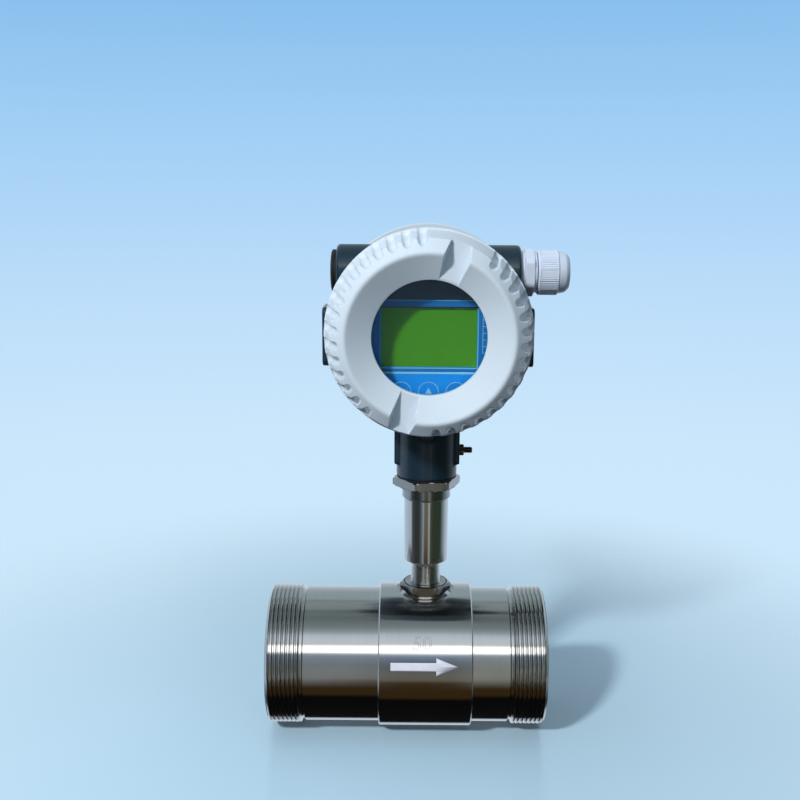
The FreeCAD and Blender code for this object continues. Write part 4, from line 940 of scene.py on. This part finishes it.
def housing():
    """Cast housing with soft inner corners, and its two threaded spigots as rings of their own."""
    node = frame["nodes"]["housing_body"]
    cast = bpy.data.objects.new("housing_casting", node.data.copy())
    bpy.context.scene.collection.objects.link(cast)
    cast.data.materials.clear()
    work = bmesh.new()
    work.from_mesh(cast.data)
    bmesh.ops.remove_doubles(work, verts=work.verts, dist=1e-6)
    work.to_mesh(cast.data)
    work.free()
    grid = cast.modifiers.new("casting", "REMESH")
    grid.mode = "VOXEL"
    grid.voxel_size = sizes().casting_grid
    grid.use_smooth_shade = True
    soft = cast.modifiers.new("soft edges", "SMOOTH")
    soft.factor = 0.5
    soft.iterations = 4
    apply_modifiers(cast)
    mesh = cast.data
    places = np.empty(len(mesh.vertices) * 3, np.float32)
    mesh.vertices.foreach_get("co", places)
    places = places.reshape(-1, 3)
    centre = np.array(HEAD) * MM
    across, up = places[:, 0] - centre[0], places[:, 2] - centre[2]
    radius = np.hypot(across, up)
    core = 43.9 * MM
    spigot = (np.abs(places[:, 1]) > 32.6 * MM) & (radius > core)
    scale = np.where(spigot, core / np.maximum(radius, 1e-6), 1.0)
    places[:, 0] = centre[0] + across * scale
    places[:, 2] = centre[2] + up * scale
    ends = np.abs(places[:, 1]) > 45.4 * MM
    places[:, 1] = np.where(ends, np.sign(places[:, 1]) * 45.4 * MM, places[:, 1])
    mesh.vertices.foreach_set("co", places.astype(np.float32).ravel())
    mesh.update()
    shade(mesh, 60)
    settle(cast, "housing_paint", "head", ("housing_body",))
    pitch = sizes().cover_pitch / MM
    section = outline([(31.8, 43.0), (31.8, 45.0), (33.0, 44.7), (35.0, 45.9), (45.3, 45.9),
                       (46.0, 45.2, 0.1), (46.0, 41.6, 0.2), (45.0, 41.4)])
    section = divide(section, 33.0, 46.0, pitch / 10)
    threads = threaded(45.9, pitch, 0.95, lambda along, radius: (radius > 44.8) & (along > 34.0))
    places, faces = turned(section, even_turns(224), "Y", (0, 0, 0), threads)
    rings = [(places * np.array((1, side, 1)) + np.array(HEAD), faces) for side in (-1, 1)]
    piece("housing_spigots", joined_shapes(*rings), "housing_paint", "head", sharp=40)


# ------------------------------------------------------------------ display


def flat_band(low, high, y, left=-39.0, right=39.0, thick=0.055):
    """A printed band on the round faceplate between two heights from the head's centre."""
    rim = 38.4
    rows = np.linspace(low, high, max(3, int((high - low) / 0.8) + 2))
    places, faces = [], []
    for row in rows:
        limit = math.sqrt(max(rim ** 2 - row ** 2, 0))
        start = max(-limit, left)
        stop = min(limit, right)
        for depth in (0, thick):
            places += [(STEM_X + x, y + depth, HEAD[2] + row) for x in (start, stop)]
    for index in range(len(rows) - 1):
        a, b = 4 * index, 4 * index + 4
        faces += [[a, a + 1, b + 1, b], [a + 2, b + 2, b + 3, a + 3], [a, b, b + 2, a + 2],
                  [a + 1, a + 3, b + 3, b + 1]]
    faces += [[0, 2, 3, 1], [b, b + 1, b + 3, b + 2]]
    return np.array(places), faces


def printed_ring(centre_x, centre_z, radius, width, y, thick=0.05):
    """A printed circle outline."""
    return turned([(y, radius - width), (y, radius), (y + thick, radius), (y + thick, radius - width)],
                  even_turns(72), "Y", (centre_x, 0, centre_z))


def printed_shape(corners, y, thick=0.05):
    """A printed polygon given in X and Z."""
    count = len(corners)
    places = [(x, y, z) for x, z in corners] + [(x, y + thick, z) for x, z in corners]
    faces = [list(range(count)), list(range(2 * count - 1, count - 1, -1))]
    faces += [[k, (k + 1) % count, count + (k + 1) % count, count + k] for k in range(count)]
    return np.array(places), faces


def display_prints():
    """Printed bands, lines and scale on the faceplate, placed round the edges of the glass cell."""
    face = -37.56
    cell_top, cell_bottom = 13.1, -16.3
    piece("print_top", flat_band(cell_top + 3.9, 38.0, face), "display_navy", "head")
    piece("print_top_stripe", flat_band(cell_top + 0.75, cell_top + 3.55, face),
          "display_stripe", "head")
    piece("print_gap", flat_band(cell_top + 0.02, cell_top + 0.72, face, -24.6, 24.6),
          "display_gap", "head")
    lines = [flat_band(cell_top + 3.58, cell_top + 3.88, face - 0.01, thick=0.065),
             flat_band(cell_bottom - 3.3, cell_bottom - 2.35, face - 0.01, thick=0.065),
             flat_band(cell_bottom - 0.62, cell_bottom - 0.3, face - 0.01, -24.4, 24.4, thick=0.065),
             flat_band(cell_bottom - 0.3, cell_top, face - 0.01, 24.05, 24.3, thick=0.065)]
    for tick in range(7):
        low = -9.2 + 3.3 * tick
        lines.append(flat_band(low, low + 0.22, face - 0.02, 26.6, 28.2, thick=0.075))
    lines.append(flat_band(-9.2, 10.82, face - 0.02, 26.35, 26.6, thick=0.075))
    piece("print_lines", joined_shapes(*lines), "display_line", "head")
    sides = [flat_band(cell_bottom - 0.3, cell_top + 0.7, face, 24.35),
             flat_band(cell_bottom - 0.3, cell_top + 0.7, face, right=-24.35),
             flat_band(cell_bottom - 2.3, cell_bottom - 0.65, face)]
    piece("print_sides", joined_shapes(*sides), "display_stripe", "head")


def key_prints():
    """Circle outline and triangle on each key, riding with it."""
    signs = {"left": (-13.6, [(1.5, -1.6), (1.5, 1.6), (-1.5, 0)]),
             "centre": (0.0, [(-1.7, -0.9), (1.7, -0.9), (0, 2.0)]),
             "right": (13.6, [(-1.5, 1.6), (-1.5, -1.6), (1.5, 0)])}
    z, y = HEAD[2] - 28.6, -37.96
    for name, (shift, corners) in signs.items():
        x = STEM_X + shift
        sign = printed_shape([(x + a, z + b) for a, b in corners], y)
        prints = joined_shapes(printed_ring(x, z, 5.05, 0.32, y), sign)
        piece(f"key_{name}_print", prints, "display_line", f"key_{name}")


# ------------------------------------------------------------------ conduit fittings


def blind_plug():
    """Domed head of the plug in the left entry, with its thread."""
    start = STEM_X - ENTRY_REACH
    section = outline([
        (10.0, 0), (10.0, 8.6), (8.5, 10.0), (-1.0, 10.0), (-1.0, 11.2, 0.2), (-2.1, 11.2, 0.5),
        (-2.7, 10.2, 0.8), (-3.0, 8.0, 1.2), (-3.0, 0)], closed=False)
    section = divide(section, -1.0, 10.0, 0.13, closed=False)
    threads = threaded(10.0, 1.5, 0.8, lambda along, radius: (along > -0.2) & (radius > 8.7))
    plug = turned(section, even_turns(96), "X", (start, 0, CONDUIT_Z), threads, closed=False)
    piece("blind_plug_domed", plug, "black_plastic", "head", ("blind_plug",))


def cable_gland():
    """Nylon gland: sealing ring, hexagon body with its threads, ribbed cap nut."""
    start = STEM_X + ENTRY_REACH
    pitch = sizes().gland_pitch / MM
    ring = turned(outline([(0, 10.1), (0, 11.0, 0.3), (1.8, 11.0, 0.3), (1.8, 10.1)]), even_turns(96), "X",
                  (start, 0, CONDUIT_Z))
    piece("gland_washer_ring", ring, "white_nylon", "head", ("gland_washer",))
    flats = 22.6
    corner = flats / math.sqrt(3)
    rows = outline([
        (-9.0, 6.4), (-9.0, 9.25), (-8.25, 10.0), (1.8, 10.0), (1.8, 10.9), (2.3, corner - 0.5, 0.3),
        (6.5, corner - 0.5, 0.3), (7.0, 10.9), (7.0, 10.6, 0.1), (8.1, 10.6, 0.2), (8.1, 8.8),
        (16.0, 8.8, 0.3), (16.0, 6.4)])
    rows = divide(rows, -8.25, 1.8, 0.13)
    rows = divide(rows, 8.1, 16.0, 0.13)

    def gland_form(along, radius, turn):
        reach = hexagon_reach(turn, flats, 0.0)
        wide = (along > 1.9) & (along < 6.95) & (radius > 10.95)
        radius = np.where(wide, soft_least(radius, reach, 0.25), radius)
        for low, high, major in ((-8.3, 0.6, 10.0), (8.6, 15.8, 8.8)):
            inside = (along > low) & (along < high) & (np.abs(radius - major) < 0.8)
            cut = major - thread_cut(along, turn, pitch, 0.75)
            radius = np.where(inside, np.minimum(radius, cut), radius)
        return along, radius, turn

    piece("gland_body_moulded", turned(rows, even_turns(144), "X", (start, 0, CONDUIT_Z), gland_form),
          "white_nylon", "head", ("gland_body",), sharp=28)
    cap = outline([
        (8.6, 8.9), (8.6, 10.9, 0.3), (9.4, 11.7, 0.4), (18.8, 11.7, 0.5), (19.6, 10.9, 0.2),
        (20.2, 10.8, 0.8), (23.2, 10.2, 2.4), (25.2, 8.2, 1.4), (25.2, 5.0, 0.6), (20.1, 5.0),
        (20.1, 6.5), (16.1, 6.5), (16.1, 8.9)], arc_steps=6)
    cap = divide(cap, 9.4, 19.6, 0.7)

    def cap_form(along, radius, turn):
        """Six worn facets with fine ribs between them on the gripping part."""
        grip = (along > 9.2) & (along < 19.2) & (radius > 10.9)
        ribs = 11.52 + 0.16 * np.sign(np.sin(turn * 66))
        ends = soft_step(along, 9.2, 10.2) * soft_step(19.2 - along, 0.0, 0.8)
        shaped = np.minimum(hexagon_reach(turn, 22.7, 0.0), ribs)
        return along, np.where(grip, radius + (np.minimum(radius, shaped) - radius) * ends, radius), turn

    piece("gland_cap_ribbed", turned(cap, even_turns(396), "X", (start, 0, CONDUIT_Z), cap_form),
          "white_nylon", "gland_cap", ("gland_cap",), sharp=35)


def earth_stud():
    """Small earth stud and its round nut, beside the neck."""
    low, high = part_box("earth_screw")
    height = (low.z + high.z) / 2 / MM
    inner, end = low.x / MM, high.x / MM
    section = outline([(inner, 0), (inner, 1.75), (102.5, 1.75), (102.5, 3.0, 0.2), (104.9, 3.0, 0.3),
                       (104.8, 1.75), (end - 0.5, 1.75), (end, 1.2, 0.15), (end, 0)], closed=False)
    section = divide(section, 104.8, end, 0.06, closed=False)
    section = divide(section, inner, 102.5, 0.12, closed=False)

    def form(along, radius, turn):
        thin = (radius > 1.1) & (radius < 1.8) & (along > 104.85)
        cut = 1.75 - thread_cut(along, turn, 0.7, 0.36)
        radius = np.where(thin, np.minimum(radius, cut), radius)
        knurl = radius > 2.9
        return along, np.where(knurl, radius - 0.14 * (1 + np.cos(turn * 28)) / 2, radius), turn

    stud = turned(section, even_turns(112), "X", (0, 0, height), form, closed=False)
    piece("earth_screw_turned", stud, "brass", "head", ("earth_screw",), sharp=40)


# ------------------------------------------------------------------ carried-over nodes


def finish_nodes():
    """Give every CAD node that is still shown its own finish."""
    slots = {m["slot"] for m in frame["record"]["materials"]}
    for name, node in frame["nodes"].items():
        if node.hide_render:
            continue
        for index, holder in enumerate(node.material_slots):
            slot = holder.material.name.split(".")[0] if holder.material else ""
            if slot not in slots:
                raise RuntimeError(f"{name} has no known slot: {slot!r}")
            node.data.materials[index] = FINISHES[slot]()


# ------------------------------------------------------------------ stage


def camera():
    """Camera in front of the meter, a little above its head."""
    lens = bpy.data.cameras.new("camera")
    lens.lens = 48.67
    lens.sensor_width = 36.0
    lens.shift_x, lens.shift_y = -0.0141, 0.0012
    lens.clip_start = 0.01
    eye = bpy.data.objects.new("camera", lens)
    bpy.context.scene.collection.objects.link(eye)
    tilt = Matrix.Rotation(math.radians(90 - 11.06), 4, "X")
    roll = Matrix.Rotation(math.radians(0.43), 4, "Z")
    eye.matrix_world = Matrix.Translation(Vector((76.5, -566.5, 253.9)) * MM) @ tilt @ roll
    bpy.context.scene.camera = eye


def ramp(tree, value, stops):
    """A colour ramp over value from stops (position, colour)."""
    node = add(tree, "ShaderNodeValToRGB", {"Fac": value})
    strip = node.color_ramp
    while len(strip.elements) < len(stops):
        strip.elements.new(0.5)
    for element, (place, colour) in zip(strip.elements, stops):
        element.position = place
    for element, (place, colour) in zip(strip.elements, stops):
        element.position = place
        element.color = (*colour, 1.0)
    return node.outputs["Color"]


# studio colours by angle in degrees: round the meter's X axis, and round its Z axis
ROLL_STOPS = [
    (-180, (0.66, 0.74, 0.84)), (-127, (0.60, 0.70, 0.82)), (-123, (0.008, 0.008, 0.008)),
    (-57, (0.004, 0.004, 0.005)), (-52, (0.048, 0.027, 0.010)), (-25, (0.050, 0.030, 0.008)),
    (-21, (0.18, 0.15, 0.10)), (-12, (0.17, 0.175, 0.16)), (0, (0.13, 0.16, 0.165)),
    (9, (0.17, 0.21, 0.28)), (18, (0.27, 0.37, 0.54)), (22, (0.80, 0.90, 1.0)),
    (42, (0.86, 0.93, 1.0)), (51, (0.72, 0.82, 0.95)), (57, (0.44, 0.52, 0.57)),
    (65, (0.27, 0.33, 0.35)), (76, (0.21, 0.25, 0.27)), (84, (0.17, 0.21, 0.22)),
    (91, (0.21, 0.26, 0.27)), (97, (0.17, 0.22, 0.22)), (103, (0.29, 0.35, 0.36)),
    (117, (0.32, 0.40, 0.42)), (122, (0.27, 0.34, 0.36)), (128, (0.39, 0.49, 0.53)),
    (150, (0.38, 0.49, 0.54)), (180, (0.66, 0.74, 0.84))]
SIDE_STOPS = [
    (-180, (0.80, 0.90, 1.0)), (-122, (0.56, 0.72, 0.92)), (-84, (0.50, 0.61, 0.72)),
    (-76, (0.09, 0.09, 0.105)), (-56, (0.043, 0.045, 0.040)), (-36, (0.036, 0.050, 0.050)),
    (-23, (0.13, 0.17, 0.22)), (-9, (0.58, 0.62, 0.68)), (15, (0.56, 0.59, 0.57)),
    (22, (0.080, 0.095, 0.075)), (38, (0.038, 0.055, 0.036)), (80, (0.038, 0.057, 0.040)),
    (94, (0.21, 0.28, 0.30)), (122, (0.54, 0.67, 0.83)), (180, (0.80, 0.90, 1.0))]
BACKDROP_STOPS = [
    (0.0, (0.62, 0.82, 0.97)), (0.22, (0.60, 0.80, 0.97)), (0.375, (0.51, 0.73, 0.955)),
    (0.55, (0.37, 0.63, 0.92)), (0.70, (0.25, 0.525, 0.85)), (1.0, (0.22, 0.48, 0.82))]


def angle_bands(tree, angle, stops):
    """Colours round a full turn, from stops in degrees."""
    share = math_node(tree, "MULTIPLY_ADD", angle, 0.5 / math.pi, 0.5)
    return ramp(tree, share, [((degrees + 180) / 360, colour) for degrees, colour in stops])


def studio_mirror(tree, x, y, z):
    """Colour and strength of the banded studio with its long lamp, by direction."""
    forward = math_node(tree, "MULTIPLY", y, -1.0)
    roll = math_node(tree, "ARCTAN2", z, forward)
    bands = angle_bands(tree, roll, ROLL_STOPS)
    sides = angle_bands(tree, math_node(tree, "ARCTAN2", x, forward), SIDE_STOPS)
    spread = math_node(tree, "ABSOLUTE", x)
    beside = remap(tree, spread, 0.15, 0.24)
    near_level = remap(tree, math_node(tree, "ABSOLUTE", z), 0.62, 0.42)
    colour = mix_colour(tree, math_node(tree, "MULTIPLY", beside, near_level), bands, sides)
    lamp_low = remap(tree, roll, math.radians(21.0), math.radians(23.5))
    lamp_high = remap(tree, roll, math.radians(35.5), math.radians(33.0))
    inside = remap(tree, spread, 0.62, 0.50)
    lamp = math_node(tree, "MULTIPLY", math_node(tree, "MULTIPLY", lamp_low, lamp_high), inside)
    colour = mix_colour(tree, lamp, colour, (1.0, 1.0, 1.0))
    return colour, math_node(tree, "MULTIPLY_ADD", lamp, 1.6, 1.0)


def studio_world():
    """Pale backdrop for the eye, banded studio for polished metal, soft sky from one side for paint."""
    world = bpy.data.worlds.new("studio")
    bpy.context.scene.world = world
    world.use_nodes = True
    tree = world.node_tree
    tree.nodes.clear()
    output = tree.nodes.new("ShaderNodeOutputWorld")
    heading = add(tree, "ShaderNodeTexCoord").outputs["Generated"]
    x, y, z = add(tree, "ShaderNodeSeparateXYZ", {0: heading}).outputs
    mirrored, mirror_strength = studio_mirror(tree, x, y, z)
    backdrop = ramp(tree, math_node(tree, "MULTIPLY_ADD", z, 1.25, 0.5), BACKDROP_STOPS)
    rays = add(tree, "ShaderNodeLightPath")
    seen = math_node(tree, "MAXIMUM", rays.outputs["Is Camera Ray"], rays.outputs["Is Transmission Ray"])
    facing = add(tree, "ShaderNodeVectorMath", {0: heading, 1: (-0.48, -0.45, 0.75)},
                 operation="DOT_PRODUCT").outputs["Value"]
    sky_strength = remap(tree, facing, -0.25, 0.9, 0.012, 0.50, "SMOOTHSTEP")
    sky = add(tree, "ShaderNodeBackground", {"Color": (0.72, 0.86, 1.0), "Strength": sky_strength})
    mirror = add(tree, "ShaderNodeBackground", {"Color": mirrored, "Strength": mirror_strength})
    view = add(tree, "ShaderNodeBackground", {"Color": backdrop, "Strength": 1.0})
    lit = add(tree, "ShaderNodeMixShader", {
        0: rays.outputs["Is Glossy Ray"], 1: sky.outputs[0], 2: mirror.outputs[0]})
    shown = add(tree, "ShaderNodeMixShader", {0: seen, 1: lit.outputs[0], 2: view.outputs[0]})
    tree.links.new(shown.outputs[0], output.inputs["Surface"])


def floor():
    """Pale floor that fades into the backdrop away from the meter, unseen by glossy and diffuse rays."""
    mesh = bpy.data.meshes.new("floor")
    half, height = 2.4, CAD_BOX[0][2]
    corners = [(-half, -half, height), (half, -half, height), (half, half, height), (-half, half, height)]
    mesh.from_pydata(corners, [], [[0, 1, 2, 3]])
    ground = bpy.data.objects.new("floor", mesh)
    bpy.context.scene.collection.objects.link(ground)
    ground.visible_glossy = False
    ground.visible_diffuse = False
    material, tree, shader, output = blank_material("pale floor")
    grain = use_group(tree, handling_group(), {
        "Color": (0.58, 0.82, 0.98), "Shade": (0.55, 0.79, 0.97), "Amount": 0.5, "Scale": 3.0,
        "Roughness": 0.14, "Roughness Spread": 0.08})
    tree.links.new(grain.outputs["Color"], shader.inputs["Base Color"])
    tree.links.new(grain.outputs["Roughness"], shader.inputs["Roughness"])
    away = add(tree, "ShaderNodeVectorMath", {0: object_place(tree), 1: (0.075, 0.0, height)},
               operation="DISTANCE").outputs["Value"]
    share = remap(tree, away, 0.12, 0.46, curve="SMOOTHSTEP")
    clear = add(tree, "ShaderNodeBsdfTransparent")
    both = add(tree, "ShaderNodeMixShader", {
        0: share, 1: shader.outputs["BSDF"], 2: clear.outputs["BSDF"]})
    tree.links.new(both.outputs[0], output.inputs["Surface"])
    mesh.materials.append(material)


def area_lamp(name, power, side, place, colour):
    """A square lamp aimed at the meter, seen neither directly nor in reflections."""
    data = bpy.data.lights.new(name, "AREA")
    data.shape = "RECTANGLE"
    data.size = side
    data.size_y = side
    data.energy = power
    data.color = colour
    lamp = bpy.data.objects.new(name, data)
    bpy.context.scene.collection.objects.link(lamp)
    lamp.location = Vector(place)
    aim = Vector((0.085, -0.03, 0.15)) - lamp.location
    lamp.rotation_euler = aim.to_track_quat("-Z", "Y").to_euler()
    lamp.visible_camera = False
    lamp.visible_glossy = False


def stage():
    """Camera, world, floor and lamps: key from the upper left, weak fill from the right, one above."""
    camera()
    studio_world()
    floor()
    area_lamp("key_lamp", 17.0, 0.14, (-0.60, -1.06, 0.97), (1.0, 0.99, 0.97))
    area_lamp("fill_lamp", 0.7, 0.8, (1.1, -0.9, 0.35), (0.86, 0.93, 1.0))
    area_lamp("top_lamp", 1.8, 0.9, (0.1, 0.1, 1.3), (0.95, 0.98, 1.0))
    bpy.context.scene.view_settings.view_transform = "Standard"


# ------------------------------------------------------------------ operators and panel


class METER_OT_meter_body(bpy.types.Operator):
    """Turn the threaded flow tube"""

    bl_idname = "flow_meter.meter_body"
    bl_label = "Meter body"
    bl_options = {"REGISTER", "UNDO"}

    def execute(self, context):
        meter_body()
        return {"FINISHED"}


class METER_OT_flow_marks(bpy.types.Operator):
    """Etch the flow arrow and bore number"""

    bl_idname = "flow_meter.flow_marks"
    bl_label = "Flow marks"
    bl_options = {"REGISTER", "UNDO"}

    def execute(self, context):
        etched_arrow()
        etched_number()
        return {"FINISHED"}


class METER_OT_pickup_stem(bpy.types.Operator):
    """Turn the stem with its thread"""

    bl_idname = "flow_meter.pickup_stem"
    bl_label = "Pickup stem"
    bl_options = {"REGISTER", "UNDO"}

    def execute(self, context):
        pickup_stem()
        return {"FINISHED"}


class METER_OT_stem_fastening(bpy.types.Operator):
    """Make washer, lock nut and neck hexagon"""

    bl_idname = "flow_meter.stem_fastening"
    bl_label = "Stem fastening"
    bl_options = {"REGISTER", "UNDO"}

    def execute(self, context):
        stem_fastening()
        return {"FINISHED"}


class METER_OT_housing(bpy.types.Operator):
    """Cast the housing and cut its spigot threads"""

    bl_idname = "flow_meter.housing"
    bl_label = "Housing"
    bl_options = {"REGISTER", "UNDO"}

    def execute(self, context):
        housing()
        return {"FINISHED"}


class METER_OT_covers(bpy.types.Operator):
    """Cast both fluted covers"""

    bl_idname = "flow_meter.covers"
    bl_label = "Screw covers"
    bl_options = {"REGISTER", "UNDO"}

    def execute(self, context):
        screw_cover("front_cover_cast", True, "front_cover")
        screw_cover("rear_cover_cast", False, "rear_cover")
        return {"FINISHED"}


class METER_OT_display_prints(bpy.types.Operator):
    """Print the faceplate"""

    bl_idname = "flow_meter.display_prints"
    bl_label = "Display prints"
    bl_options = {"REGISTER", "UNDO"}

    def execute(self, context):
        display_prints()
        return {"FINISHED"}


class METER_OT_key_prints(bpy.types.Operator):
    """Print the three keys"""

    bl_idname = "flow_meter.key_prints"
    bl_label = "Key prints"
    bl_options = {"REGISTER", "UNDO"}

    def execute(self, context):
        key_prints()
        return {"FINISHED"}


class METER_OT_blind_plug(bpy.types.Operator):
    """Make the domed plug"""

    bl_idname = "flow_meter.blind_plug"
    bl_label = "Blind plug"
    bl_options = {"REGISTER", "UNDO"}

    def execute(self, context):
        blind_plug()
        return {"FINISHED"}


class METER_OT_cable_gland(bpy.types.Operator):
    """Mould the gland and its cap nut"""

    bl_idname = "flow_meter.cable_gland"
    bl_label = "Cable gland"
    bl_options = {"REGISTER", "UNDO"}

    def execute(self, context):
        cable_gland()
        return {"FINISHED"}


class METER_OT_earth_stud(bpy.types.Operator):
    """Turn the earth stud"""

    bl_idname = "flow_meter.earth_stud"
    bl_label = "Earth stud"
    bl_options = {"REGISTER", "UNDO"}

    def execute(self, context):
        earth_stud()
        return {"FINISHED"}


class METER_OT_finish_nodes(bpy.types.Operator):
    """Finish the pieces taken as they are"""

    bl_idname = "flow_meter.finish_nodes"
    bl_label = "Other finishes"
    bl_options = {"REGISTER", "UNDO"}

    def execute(self, context):
        finish_nodes()
        return {"FINISHED"}


class METER_OT_stage(bpy.types.Operator):
    """Set up floor, backdrop, lamps and camera"""

    bl_idname = "flow_meter.stage"
    bl_label = "Stage"
    bl_options = {"REGISTER", "UNDO"}

    def execute(self, context):
        stage()
        return {"FINISHED"}


STEPS = [
    METER_OT_meter_body, METER_OT_flow_marks, METER_OT_pickup_stem, METER_OT_stem_fastening,
    METER_OT_housing, METER_OT_covers, METER_OT_display_prints, METER_OT_key_prints,
    METER_OT_blind_plug, METER_OT_cable_gland, METER_OT_earth_stud, METER_OT_finish_nodes,
    METER_OT_stage,
]


class METER_PT_pieces(bpy.types.Panel):
    """Lists the pieces, their sizes and colours."""

    bl_label = "Turbine flow meter"
    bl_space_type = "VIEW_3D"
    bl_region_type = "UI"
    bl_category = "Flow Meter"

    def draw(self, context):
        column = self.layout.column()
        for step in STEPS:
            column.operator(step.bl_idname)
        for group in (context.scene.flow_meter_sizes, context.scene.flow_meter_colours):
            box = self.layout.box()
            for name in group.__annotations__:
                box.prop(group, name)


CLASSES = [MeterSizes, MeterColours, *STEPS, METER_PT_pieces]


def register():
    for item in CLASSES:
        bpy.utils.register_class(item)
    bpy.types.Scene.flow_meter_sizes = bpy.props.PointerProperty(type=MeterSizes)
    bpy.types.Scene.flow_meter_colours = bpy.props.PointerProperty(type=MeterColours)


def unregister():
    del bpy.types.Scene.flow_meter_colours
    del bpy.types.Scene.flow_meter_sizes
    for item in reversed(CLASSES):
        bpy.utils.unregister_class(item)


def main():
    register()
    for step in STEPS:
        group, name = step.bl_idname.split(".")
        getattr(getattr(bpy.ops, group), name)()


if __name__ == "__main__":
    main()
